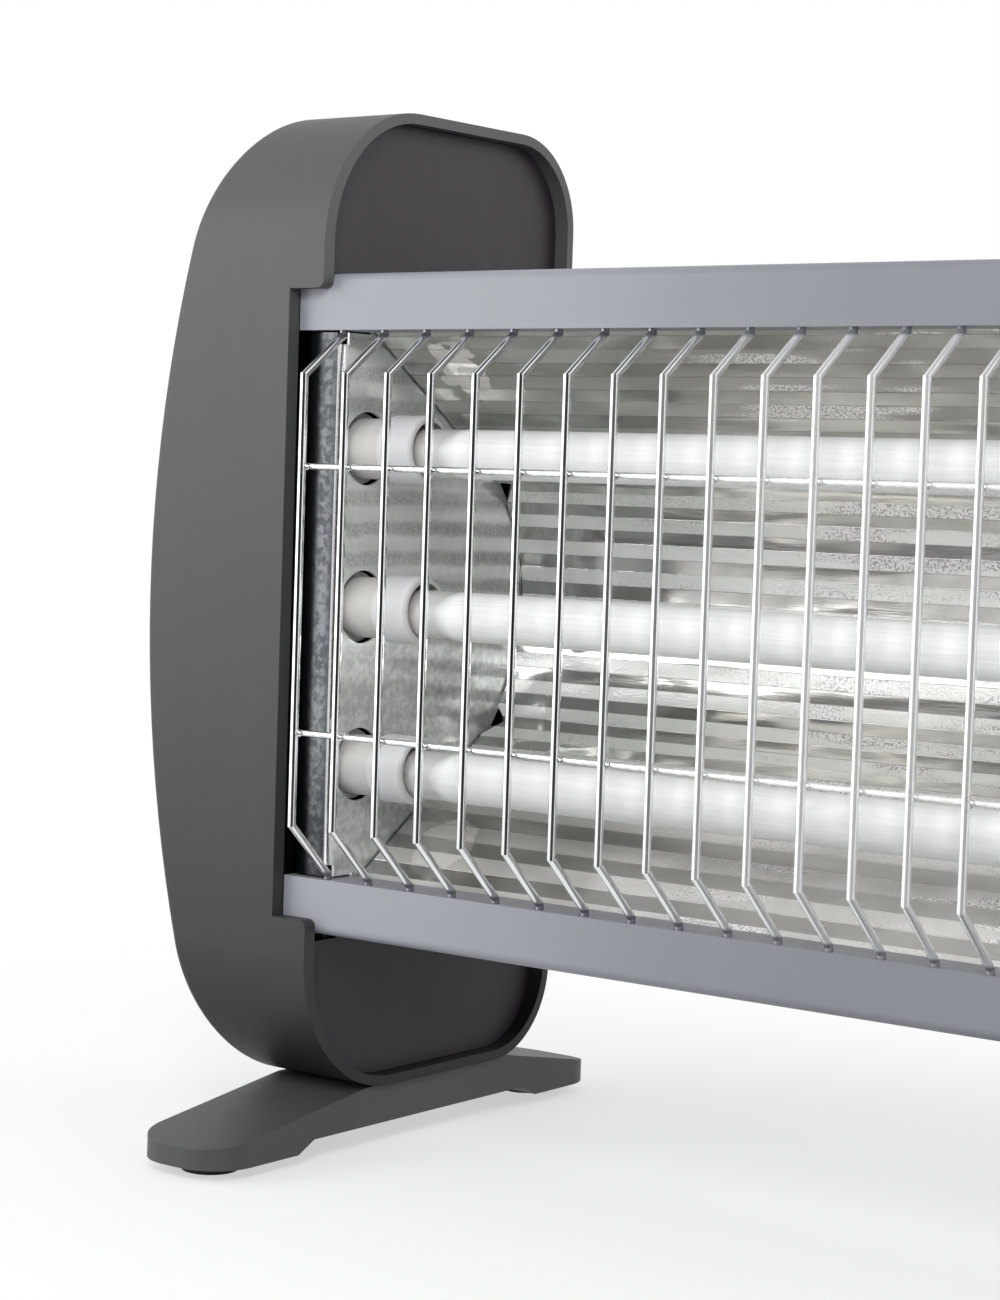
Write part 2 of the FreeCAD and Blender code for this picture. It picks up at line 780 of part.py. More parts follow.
def rocker(z):
    x = switch_x
    y = cap_y0 + pin_set
    points = [
        (y - rocker_end_proud, z + rocker_half),
        (y - rocker_middle_proud, z),
        (y - rocker_end_proud, z - rocker_half),
        (y - rocker_side_front, z - rocker_half),
        (y + rocker_rear, z - rocker_rear_half),
        (y + rocker_rear, z + rocker_rear_half),
        (y - rocker_side_front, z + rocker_half),
    ]
    body = prism_x(points, x - rocker_width / 2, x + rocker_width / 2)
    body = body.cut(pin_line(z, pin_radius + pin_fit))
    body.rotate(V(x, y, z), ALONG_X, rocker_tilt)
    return body


# Tip-over switch: plunger pressed in by the floor, spring above its collar
def tip_parts():
    x = foot_x
    floor = V(x, plunger_along, 0)
    inside = foot_height + cap_wall
    collar_z = inside + plunger_travel
    spring_z = collar_z + plunger_collar
    body_z = spring_z + spring_length
    tip = rod(floor, floor.add(V(0, 0, collar_z)), plunger_radius)
    collar = rod(floor.add(V(0, 0, collar_z)), floor.add(V(0, 0, spring_z)), plunger_collar_radius)
    stem = rod(floor.add(V(0, 0, spring_z)), floor.add(V(0, 0, spring_z + stem_length)), stem_radius)
    plunger = tip.multiFuse([collar, stem]).removeSplitter()
    low = floor.add(V(0, 0, spring_z))
    high = floor.add(V(0, 0, body_z))
    spring = rod(low, high, spring_outer).cut(rod(low, high, spring_inner))
    case = box(x - tip_half_across, x + tip_half_across, plunger_along - tip_half_along,
               plunger_along + tip_half_along, body_z, body_z + tip_height)
    legs = []
    for side in (1, -1):
        near = plunger_along + side * (tip_half_along - tip_leg)
        far = plunger_along + side * tip_half_along
        legs.append(box(x - tip_half_across, x + tip_half_across, min(near, far), max(near, far),
                        inside, body_z))
    case = case.multiFuse(legs).removeSplitter()
    bore = rod(high, high.add(V(0, 0, tip_height - tip_roof)), stem_radius + stem_fit)
    return plunger, spring, case.cut(bore)


# Cord gland and its nut in the right cap's back wall, with the terminal block above
def gland():
    base = V(gland_x, cap_y1, gland_z)
    flange = rod(base, base.add(V(0, gland_flange, 0)), gland_flange_radius)
    inner = base.sub(V(0, cap_wall + gland_inner_length, 0))
    barrel = rod(inner, base, gland_body_radius)
    bore = rod(inner, base.add(V(0, gland_flange, 0)), gland_bore)
    return flange.fuse(barrel).removeSplitter().cut(bore)


def gland_nut_ring():
    face = V(gland_x, cap_y1 - cap_wall, gland_z)
    start = face.sub(V(0, gland_nut, 0))
    return rod(start, face, gland_nut_radius).cut(rod(start, face, gland_body_radius + gland_nut_fit))


def terminal_block():
    z0 = gland_z + gland_nut_radius + block_gap
    y1 = cap_y1 - cap_wall
    body = box(gland_x - block_half, gland_x + block_half, y1 - block_depth, y1, z0, z0 + block_height)
    pitch = block_half * 2 / 3
    holes = []
    for k in (-1, 0, 1):
        start = V(gland_x + pitch * k, y1 - block_depth / 2, z0 + block_height - block_hole_depth)
        holes.append(rod(start, start.add(V(0, 0, block_height)), block_hole_radius))
    return body.cut(Part.makeCompound(holes))


# Carry handle: grip bar on two posts, screwed from inside the casing
def handle():
    z0 = mid_z + handle_height - handle_thick / 2
    z1 = z0 + handle_thick
    y1 = casing_rear + handle_reach
    solid = box(-handle_half, handle_half, casing_rear, y1, z0, z1)
    gap = box(-handle_half + handle_post, handle_half - handle_post, casing_rear - handle_post,
              y1 - handle_grip, z0 - handle_post, z1 + handle_post)
    loop = solid.cut(gap)
    edges = [e for e in loop.Edges if e.BoundBox.YMax > casing_rear + handle_round]
    loop = loop.makeFillet(handle_round, edges)
    holes = []
    for x in (-handle_half + handle_post / 2, handle_half - handle_post / 2):
        start = V(x, casing_rear, mid_z + handle_height)
        holes.append(rod(start, start.add(V(0, handle_screw_length, 0)), handle_screw_radius + screw_gap))
    return loop.cut(Part.makeCompound(holes))


def handle_screw(side):
    x = side * (handle_half - handle_post / 2)
    seat = V(x, casing_rear - casing_sheet, mid_z + handle_height)
    head = rod(seat.sub(V(0, handle_screw_head, 0)), seat, handle_screw_head_radius)
    shank = rod(seat, seat.add(V(0, handle_screw_length, 0)), handle_screw_radius)
    return head.fuse(shank)


save("guard", wire_guard())
save("casing", casing())
save("reflector", reflector())

plate = end_plate()
save("end_plate_left", plate)
save("end_plate_right", mirror_x(plate))

strip = retainer()
save("retainer_left", strip)
save("retainer_right", mirror_x(strip))

for level, height in zip(("top", "middle", "bottom"), bush_zs):
    save("tube_" + level, quartz_tube(height - tube_sink))
    save("coil_" + level, heating_coil(height - tube_sink))
    ceramic = bush(height)
    save("bush_left_" + level, ceramic)
    save("bush_right_" + level, mirror_x(ceramic))

left_terminals = [terminal(height) for height in bush_zs]
save("terminals_left", *left_terminals)
save("terminals_right", *[mirror_x(piece) for piece in left_terminals])
save("link_bar", link_bar())

save("cap_left", cap_shell())
save("cap_right", cap_right())
cover = inner_cover()
save("cover_left", cover)
save("cover_right", mirror_x(cover))
save("cap_screws", *[cap_screw(side, end) for side in (-1, 1) for end in (-1, 1)])

save("foot_left", foot())
save("foot_right", foot_right())
save("foot_pads", *[pad(side, end) for side in (-1, 1) for end in (-1, 1)])
save("foot_screws", *[foot_screw(side, y) for side in (-1, 1) for y in foot_screw_ys])

for level, height in (("upper", mid_z + switch_height), ("lower", mid_z - switch_height)):
    save("switch_body_" + level, switch_body(height))
    save("switch_pin_" + level, pin_line(height, pin_radius))
    save("rocker_" + level, rocker(height))

tip_plunger, tip_spring, tip_body = tip_parts()
save("tip_plunger", tip_plunger)
save("tip_spring", tip_spring)
save("tip_body", tip_body)

save("cord_gland", gland())
save("gland_nut", gland_nut_ring())
save("terminal_block", terminal_block())
save("handle", handle())
save("handle_screws", handle_screw(-1), handle_screw(1))
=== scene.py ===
"""Finishes, small fittings, light and camera for the quartz heater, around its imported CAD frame."""

import json
import logging
import math
from dataclasses import dataclass
from enum import Enum
from typing import Optional, Union

import bmesh
import bpy
from mathutils import Matrix, Vector


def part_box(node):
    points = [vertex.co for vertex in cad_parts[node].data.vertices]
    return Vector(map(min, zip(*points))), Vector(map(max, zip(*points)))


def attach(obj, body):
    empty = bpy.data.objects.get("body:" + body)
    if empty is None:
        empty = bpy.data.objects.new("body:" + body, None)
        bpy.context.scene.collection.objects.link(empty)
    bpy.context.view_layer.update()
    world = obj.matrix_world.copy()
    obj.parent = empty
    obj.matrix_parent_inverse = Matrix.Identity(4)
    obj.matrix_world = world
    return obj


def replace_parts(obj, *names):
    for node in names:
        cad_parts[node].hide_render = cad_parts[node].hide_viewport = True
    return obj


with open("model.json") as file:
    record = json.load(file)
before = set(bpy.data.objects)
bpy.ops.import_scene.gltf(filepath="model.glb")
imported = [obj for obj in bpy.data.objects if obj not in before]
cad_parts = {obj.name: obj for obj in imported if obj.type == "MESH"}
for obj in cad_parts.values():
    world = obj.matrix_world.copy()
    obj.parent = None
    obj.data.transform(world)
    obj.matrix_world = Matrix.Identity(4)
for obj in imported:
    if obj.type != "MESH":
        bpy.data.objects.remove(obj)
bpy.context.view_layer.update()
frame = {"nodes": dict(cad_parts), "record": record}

LOG = logging.getLogger("heater")
Colour = tuple[float, float, float]
Point = tuple[float, float, float]
Span = tuple[float, float]

MM = 0.001
MID_Z = 140.0 * MM
GUARD_Y = -60.0 * MM
RAILS: Span = (34.2 * MM, -30.6 * MM)
BLACK: Colour = (0.0, 0.0, 0.0)
WHITE: Colour = (1.0, 1.0, 1.0)


class Reach(Enum):
    """Which way a noise pattern is drawn out, as scales along X, Y and Z."""

    EVEN = (1.0, 1.0, 1.0)
    ALONG = (0.04, 1.0, 1.0)
    UPRIGHT = (1.0, 1.0, 0.06)
    THREADS = (0.012, 1.0, 1.0)
    SPARKLES = (0.16, 1.0, 1.0)
    CLOUDS = (0.3, 1.0, 1.0)
    WAVES = (0.35, 1.0, 1.0)
    PATCHES = (0.5, 0.3, 1.0)
    SOFT = (0.6, 1.0, 1.0)


class Sock:
    """A shader socket that takes part in Python expressions and adds Math nodes."""

    def __init__(self, book: "NodeBook", socket: bpy.types.NodeSocket) -> None:
        """Keeps the socket and the node tree it belongs to."""
        self.book = book
        self.socket = socket

    def __add__(self, other: "Value") -> "Sock":
        """Sum."""
        return self.book.math("ADD", self, other)

    def __radd__(self, other: "Value") -> "Sock":
        """Reflected sum."""
        return self.book.math("ADD", other, self)

    def __sub__(self, other: "Value") -> "Sock":
        """Difference."""
        return self.book.math("SUBTRACT", self, other)

    def __rsub__(self, other: "Value") -> "Sock":
        """Reflected difference."""
        return self.book.math("SUBTRACT", other, self)

    def __mul__(self, other: "Value") -> "Sock":
        """Product."""
        return self.book.math("MULTIPLY", self, other)

    def __rmul__(self, other: "Value") -> "Sock":
        """Reflected product."""
        return self.book.math("MULTIPLY", other, self)

    def __truediv__(self, other: "Value") -> "Sock":
        """Quotient."""
        return self.book.math("DIVIDE", self, other)

    def __rtruediv__(self, other: "Value") -> "Sock":
        """Reflected quotient."""
        return self.book.math("DIVIDE", other, self)

    def __gt__(self, other: "Value") -> "Sock":
        """One where this is greater, else zero."""
        return self.book.math("GREATER_THAN", self, other)

    def __lt__(self, other: "Value") -> "Sock":
        """One where this is less, else zero: the reflected form of greater."""
        return self.book.math("LESS_THAN", self, other)

    def __abs__(self) -> "Sock":
        """Size without sign."""
        return self.book.math("ABSOLUTE", self)


Value = Union[Sock, float]


class NodeBook:
    """Adds nodes to one node tree."""

    def __init__(self, tree: bpy.types.NodeTree) -> None:
        """Starts from an empty tree."""
        self.tree = tree
        tree.nodes.clear()

    def add(self, kind: str, settings: Optional[dict] = None, inputs: Optional[dict] = None) -> bpy.types.Node:
        """Adds a node of any type.

        Args:
            kind: Blender's name of the node type.
            settings: properties, set before anything is linked.
            inputs: values or sockets by input name or index.

        Returns:
            The new node.
        """
        made = self.tree.nodes.new(kind)
        for name, value in (settings or {}).items():
            setattr(made, name, value)
        for key, value in (inputs or {}).items():
            self.feed(made.inputs[key], value)
        return made

    def node(self, kind: str, settings: Optional[dict] = None, inputs: Optional[dict] = None,
             output: Union[int, str] = 0) -> Sock:
        """Adds a node of any type for one of its outputs.

        Args:
            kind: Blender's name of the node type.
            settings: properties, set before anything is linked.
            inputs: values or sockets by input name or index.
            output: the output wanted.

        Returns:
            The wanted output, wrapped.
        """
        return Sock(self, self.add(kind, settings, inputs).outputs[output])

    def feed(self, target: bpy.types.NodeSocket, value: object) -> None:
        """Links a wrapped socket to an input, or sets the input's own value.

        Args:
            target: the input.
            value: a wrapped socket, a number, a vector or a colour.
        """
        if isinstance(value, Sock):
            self.tree.links.new(value.socket, target)
        elif isinstance(value, tuple) and target.type == "RGBA" and len(value) == 3:
            target.default_value = (*value, 1.0)
        else:
            target.default_value = value

    def math(self, operation: str, *values: Value) -> Sock:
        """Adds one Math node on these values."""
        return self.node("ShaderNodeMath", {"operation": operation}, dict(enumerate(values)))

    def vector(self, operation: str, *values: object, output: str = "Vector") -> Sock:
        """Adds one Vector Math node on these values."""
        return self.node("ShaderNodeVectorMath", {"operation": operation}, dict(enumerate(values)), output)

    def place(self) -> Sock:
        """Position in the heater's frame, in metres."""
        return self.node("ShaderNodeTexCoord", output="Object")

    def axes(self, vector: Sock) -> tuple[Sock, Sock, Sock]:
        """The three parts of a vector."""
        outputs = self.add("ShaderNodeSeparateXYZ", None, {0: vector}).outputs
        return Sock(self, outputs[0]), Sock(self, outputs[1]), Sock(self, outputs[2])

    def noise(self, vector: Sock, size: float, detail: float = 2.0, reach: Reach = Reach.EVEN) -> Sock:
        """Soft noise from 0 to 1.

        Args:
            vector: position in metres.
            size: width of a typical blot in metres.
            detail: octaves of finer noise.
            reach: which way the blots are drawn out.

        Returns:
            The noise value.
        """
        drawn = vector if reach is Reach.EVEN else self.vector("MULTIPLY", vector, reach.value)
        return self.node("ShaderNodeTexNoise", None, {"Vector": drawn, "Scale": 1.0 / size, "Detail": detail})

    def step(self, value: Value, low: float, high: float) -> Sock:
        """A smooth step from 0 at low to 1 at high."""
        return self.node("ShaderNodeMapRange", {"interpolation_type": "SMOOTHSTEP"},
                         {0: value, 1: low, 2: high, 3: 0.0, 4: 1.0})

    def sway(self, value: Sock, amount: float) -> Sock:
        """Noise from 0 to 1, turned into a swing of this size about zero."""
        return (value - 0.5) * amount

    def weigh(self, values: tuple[Sock, ...], weights: tuple[float, ...]) -> Sock:
        """The sum of some values, each times its weight."""
        total, *rest = (value * weight for value, weight in zip(values, weights))
        for part in rest:
            total = total + part
        return total

    def ridge(self, value: Value, rise: Span, fall: Span) -> Sock:
        """One between a smooth rise and a smooth fall, else zero."""
        return self.step(value, *rise) - self.step(value, *fall)

    def blend(self, factor: Value, first: object, second: object) -> Sock:
        """Mixes two colours by a factor."""
        return self.node("ShaderNodeMix", {"data_type": "RGBA"}, {0: factor, 6: first, 7: second}, 2)

    def bump(self, height: Sock, depth: float, under: Optional[Sock] = None) -> Sock:
        """A normal from a relief.

        Args:
            height: the relief, from 0 to 1.
            depth: what 1 stands for, in metres.
            under: normal of another relief that this one lies on.

        Returns:
            The normal.
        """
        inputs = {"Height": height, "Distance": depth, "Strength": 1.0}
        if under is not None:
            inputs["Normal"] = under
        return self.node("ShaderNodeBump", None, inputs)

    def close(self, kind: str, shader: Sock) -> None:
        """Ends the tree in an output node of this kind."""
        self.add(kind, None, {"Surface": shader})

    def surface(self, inputs: dict) -> None:
        """Ends a material in one Principled shader with these inputs."""
        self.close("ShaderNodeOutputMaterial", self.node("ShaderNodeBsdfPrincipled", None, inputs))


def new_material(name: str) -> tuple[bpy.types.Material, NodeBook]:
    """An empty node material and the book that fills it."""
    material = bpy.data.materials.new(name)
    material.use_nodes = True
    return material, NodeBook(material.node_tree)


def scaled(colour: Colour, share: float) -> Colour:
    """A colour made lighter or darker."""
    return tuple(part * share for part in colour)


@dataclass(frozen=True)
class MouldedPlastic:
    """Moulded plastic: spark-eroded grain, soft mottling, faint handling marks, and, if set, painted shade darkening it
    towards the foot.
    """

    name: str
    colour: Colour
    roughness: float = 0.45
    grain: float = 0.35 * MM
    depth: float = 0.02 * MM
    mottle: float = 0.06
    gloss: float = 0.4
    painted_shade_below: float = 0.0
    painted_shade_span: Span = (250.0 * MM, 30.0 * MM)
    painted_foot_span: Span = (48.0 * MM, 12.0 * MM)
    cloud_size: float = 40.0 * MM
    cloud_dulls: float = 0.08
    mark_size: float = 6.0 * MM
    mark_dulls: float = 0.10
    peaks: Span = (0.62, 0.75)
    peak_share: float = 0.12

    def with_painted_shade(self, book: NodeBook, tone: Sock, z: Sock) -> Sock:
        """The tone with painted shade, darker towards the foot, standing in for light that falls from above.

        Args:
            book: the tree to add to.
            tone: the tone so far.
            z: height in the heater's frame.

        Returns:
            The faded tone.
        """
        # Painted shade: darker from the top down and more again at the foot, standing in for light from above.
        top, bottom = self.painted_shade_span
        low = book.node("ShaderNodeMapRange", None, {0: z, 1: top, 2: bottom, 3: 0.0, 4: self.painted_shade_below})
        foot = book.step(z, *self.painted_foot_span) * self.painted_shade_below
        return book.blend(low + foot * (1 - low), tone, BLACK)

    def build(self) -> bpy.types.Material:
        """Makes the material."""
        material, book = new_material(self.name)
        place = book.place()
        cloud = book.noise(place, self.cloud_size, 3.0)
        marks = book.noise(place, self.mark_size, 4.0, Reach.UPRIGHT)
        grain = book.noise(place, self.grain)
        light = scaled(self.colour, 1 + self.mottle)
        tone = book.blend(cloud, scaled(self.colour, 1 - self.mottle), light)
        tone = book.blend(book.step(grain, *self.peaks) * self.peak_share, tone, light)
        if self.painted_shade_below:
            tone = self.with_painted_shade(book, tone, book.axes(place)[2])
        book.surface({
            "Base Color": tone,
            "Roughness": self.roughness + book.sway(marks, self.mark_dulls) + book.sway(cloud, self.cloud_dulls),
            "Normal": book.bump(grain, self.depth),
            "Specular IOR Level": self.gloss,
        })
        return material


@dataclass(frozen=True)
class SatinPaint:
    """Sprayed satin paint on bent sheet, with orange peel, soft unevenness and painted shade darkening the middle of
    its length.
    """

    name: str
    colour: Colour
    shade: Colour
    roughness: float = 0.36
    gloss: float = 0.3
    coat: float = 0.06
    coat_roughness: float = 0.25
    peel_size: float = 1.1 * MM
    peel_depth: float = 0.012 * MM
    peel_dulls: float = 0.12
    cloud_size: float = 55.0 * MM
    cloud_span: Span = (0.3, 0.7)
    dust_size: float = 0.5 * MM
    dust_peaks: Span = (0.70, 0.80)
    dust_share: float = 0.25
    painted_middle_span: Span = (150.0 * MM, 10.0 * MM)
    middle_share: float = 0.32
    painted_middle_depth: float = 0.2

    def build(self) -> bpy.types.Material:
        """Makes the material."""
        material, book = new_material(self.name)
        place = book.place()
        x, _, _ = book.axes(place)
        peel = book.noise(place, self.peel_size)
        cloud = book.noise(place, self.cloud_size, 3.0)
        dust = book.noise(place, self.dust_size, 1.0)
        # Painted shade: the paint darkens towards the middle of the heater's length, standing in for light that falls
        # off away from the ends.
        middle = book.step(abs(x), *self.painted_middle_span)
        tone = book.blend(book.step(cloud, *self.cloud_span), self.shade, self.colour)
        tone = book.blend(book.step(dust, *self.dust_peaks) * self.dust_share, tone, self.shade)
        tone = book.blend(middle * self.middle_share, tone, scaled(self.shade, self.painted_middle_depth))
        book.surface({
            "Base Color": tone,
            "Roughness": self.roughness + book.sway(peel, self.peel_dulls),
            "Normal": book.bump(peel, self.peel_depth),
            "Specular IOR Level": self.gloss,
            "Coat Weight": self.coat,
            "Coat Roughness": self.coat_roughness,
        })
        return material


@dataclass(frozen=True)
class BandedAluminium:
    """Bright rolled sheet: polished and embossed bands along it, painted reflection on the slopes, painted shade on the
    upper slope, dust and painted light on the lower slope, painted sparkle highlights, and painted glare on the creased
    ends.
    """

    name: str
    polished: Colour
    embossed: Colour
    shaded: Colour
    dust: Colour
    pale: Colour = (0.72, 0.71, 0.68)
    painted_upper_shade: Colour = (0.10, 0.095, 0.085)
    cloudy: Colour = (0.80, 0.81, 0.79)
    painted_crease_glare: Colour = (0.96, 0.94, 0.91)
    lined: Colour = (0.20, 0.19, 0.18)
    seam: Colour = (0.02, 0.02, 0.02)
    pitch: float = 7.6 * MM
    wall_pitch: float = 1.4
    start: float = 20.25
    share: float = 0.52
    rim: float = 0.03
    wander: float = 0.5 * MM
    wander_size: float = 60.0 * MM
    arc_radius: float = 45.01 * MM
    arc_y: float = -14.01 * MM
    arc_turn: float = math.radians(56.0)
    slope_edge: Span = (-1.0 * MM, 3.0 * MM)
    slope_reach: float = 20.0 * MM
    half: float = 155.7 * MM
    seam_edge: Span = (0.4 * MM, 0.2 * MM)
    end_span: Span = (45.0 * MM, 4.0 * MM)
    dust_and_light_span: Span = (45.0 * MM, 85.0 * MM)
    painted_sparkle_span: Span = (70.0 * MM, 110.0 * MM)
    crease: Span = (18.0 * MM, 60.0 * MM)
    crease_size: Span = (8.0 * MM, 6.0 * MM)
    crease_edge: Span = (1.1, 0.9)
    ragged: float = 12.0 * MM
    ragged_up: float = 0.6
    ragged_size: float = 7.0 * MM
    grit_size: float = 0.55 * MM
    roll_size: float = 0.4 * MM
    fine_depth: float = 0.16 * MM
    wave_size: float = 16.0 * MM
    wave_depth: float = 1.4 * MM
    dent_size: float = 19.0 * MM
    dent_depth: float = 3.2
    patch_size: float = 20.0 * MM
    patch_edge: Span = (0.38, 0.66)
    patch_share: float = 0.22
    soft_size: float = 17.0 * MM
    soft_edge: Span = (0.40, 0.60)
    painted_sparkle_size: float = 6.0 * MM
    painted_sparkle_edge: Span = (0.52, 0.60)
    painted_sparkle_grit: Span = (0.42, 0.52)
    painted_sparkle_share: float = 0.85
    glint_patch: Span = (0.46, 0.60)
    glint_grit: Span = (0.52, 0.60)
    glint_share: float = 0.45
    slope_hides: float = 0.55
    slope_share: float = 0.60
    painted_upper_shade_share: float = 0.40
    dust_share: float = 0.35
    painted_glare_share: float = 0.85
    line_share: float = 0.35
    metal: float = 0.92
    band_dims: float = 0.50
    dust_dims: float = 0.25
    roughness: float = 0.12
    band_dulls: float = 0.13
    wave_dulls: float = 0.10
    slope_dulls: float = 0.05
    grit_rise: float = 0.9
    roll_rise: float = 0.08
    band_rise: float = 0.2

    def developed(self, book: NodeBook, place: Sock) -> Sock:
        """Length along the trough's profile from its deepest line.

        Args:
            book: the tree to add to.
            place: position in the heater's frame.

        Returns:
            The developed length in metres, the same for both halves.
        """
        _, y, z = book.axes(place)
        deep = y - self.arc_y
        high = abs(z - MID_Z)
        turn = book.math("ARCTAN2", high, deep)
        on_arc = turn * self.arc_radius
        cos_turn, sin_turn = math.cos(self.arc_turn), math.sin(self.arc_turn)
        along = (high - self.arc_radius * sin_turn) * cos_turn - (deep - self.arc_radius * cos_turn) * sin_turn
        on_wall = along / self.wall_pitch + self.arc_radius * self.arc_turn
        wall = turn > self.arc_turn
        return on_arc * (1 - wall) + on_wall * wall

    def stripes(self, book: NodeBook, place: Sock, length: Sock) -> tuple[Sock, Sock]:
        """The embossed bands and the thin line along one edge of each.

        Args:
            book: the tree to add to.
            place: position in the heater's frame.
            length: developed length across the bands.

        Returns:
            One on the bands, and one on the lines.
        """
        wander = book.sway(book.noise(place, self.wander_size, 1.0, Reach.ALONG), self.wander)
        phase = book.math("FRACT", (length + wander) / self.pitch + self.start)
        band = book.step(phase, 0.0, self.rim) * (1 - book.step(phase, self.share, self.share + self.rim))
        return band, 1 - book.step(abs(phase - self.share), 0.0, self.rim)

    def painted_glares(self, book: NodeBook, place: Sock, inward: Sock) -> Sock:
        """The ragged patches of painted glare on the creases near both ends.

        Args:
            book: the tree to add to.
            place: position in the heater's frame.
            inward: distance from the nearer end.

        Returns:
            One on the creases.
        """
        _, _, z = book.axes(place)
        ragged = book.sway(book.noise(place, self.ragged_size), self.ragged)
        across = (inward - self.crease[0] + ragged) / self.crease_size[0]
        upward = (abs(z - MID_Z) - self.crease[1] + ragged * self.ragged_up) / self.crease_size[1]
        return book.step(across * across + upward * upward, *self.crease_edge)

    def build(self) -> bpy.types.Material:
        """Makes the material."""
        material, book = new_material(self.name)
        place = book.place()
        x, _, z = book.axes(place)
        inward = self.half - abs(x)
        length = self.developed(book, place)
        band, line = self.stripes(book, place, length)
        arc = self.arc_radius * self.arc_turn
        slope = book.step(length, arc + self.slope_edge[0], arc + self.slope_edge[1])
        upper = slope * book.step(z, MID_Z, MID_Z + self.slope_reach)
        lower = slope * book.step(z, MID_Z, MID_Z - self.slope_reach)
        # Partly dust on the lower slope and partly painted light: it pales the lower slope away from the ends.
        dust_and_light = lower * book.step(inward, *self.dust_and_light_span)
        grit = book.noise(place, self.grit_size)
        patch = book.noise(place, self.patch_size, 2.0, Reach.PATCHES)
        soft = book.noise(place, self.soft_size, 1.0, Reach.SOFT)
        painted_sparkle_noise = book.noise(place, self.painted_sparkle_size, 1.0, Reach.SPARKLES)
        # Painted highlights: dark pits in glinting patches, and white and dark specks on the bands, stand in for light
        # glinting off the embossed grain.
        glint = book.step(patch, *self.glint_patch) * band * book.step(grit, *self.glint_grit)
        sparkle = book.step(painted_sparkle_noise, *self.painted_sparkle_edge) * band * book.step(inward, *self.painted_sparkle_span)
        # Painted reflection: pale and shaded patches along the slopes stand in for reflected wires and surroundings.
        mirrored = book.blend(book.step(soft, *self.soft_edge), self.shaded, self.pale)
        painted_sparkle_tone = book.blend(book.step(grit, *self.painted_sparkle_grit), self.shaded, WHITE)
        # The polished bands' darker tone is partly their own finish and partly painted reflection of a dim studio.
        tone = book.blend(band * (1 - slope * self.slope_hides), self.polished, self.embossed)
        tone = book.blend(slope * self.slope_share, tone, mirrored)
        # Painted shade: the upper slope is darkened.
        tone = book.blend(upper * self.painted_upper_shade_share, tone, self.painted_upper_shade)
        tone = book.blend(dust_and_light * self.dust_share, tone, self.dust)
        tone = book.blend(book.step(patch, *self.patch_edge) * self.patch_share, tone, self.cloudy)
        tone = book.blend(glint * self.glint_share, tone, self.shaded)
        tone = book.blend(sparkle * self.painted_sparkle_share, tone, painted_sparkle_tone)
        # Painted highlight: bright glare on the creased ends.
        tone = book.blend(self.painted_glares(book, place, inward) * self.painted_glare_share, tone, self.painted_crease_glare)
        tone = book.blend(line * self.line_share, tone, self.lined)
        tone = book.blend(book.step(inward, *self.seam_edge), tone, self.seam)
        roll = book.noise(place, self.roll_size, 2.0, Reach.ALONG)
        wave = book.noise(place, self.wave_size, 1.5, Reach.WAVES)
        dent = book.noise(place, self.dent_size, 1.0) * book.step(inward, *self.end_span) * self.dent_depth
        fine = book.weigh((band * grit, roll, band), (self.grit_rise, self.roll_rise, self.band_rise))
        rough = self.roughness + band * self.band_dulls + book.sway(wave, self.wave_dulls) + slope * self.slope_dulls
        book.surface({
            "Base Color": tone,
            "Metallic": self.metal - band * self.band_dims - dust_and_light * self.dust_dims,
            "Roughness": rough,
            "Normal": book.bump(wave + dent, self.wave_depth, book.bump(fine, self.fine_depth)),
        })
        return material


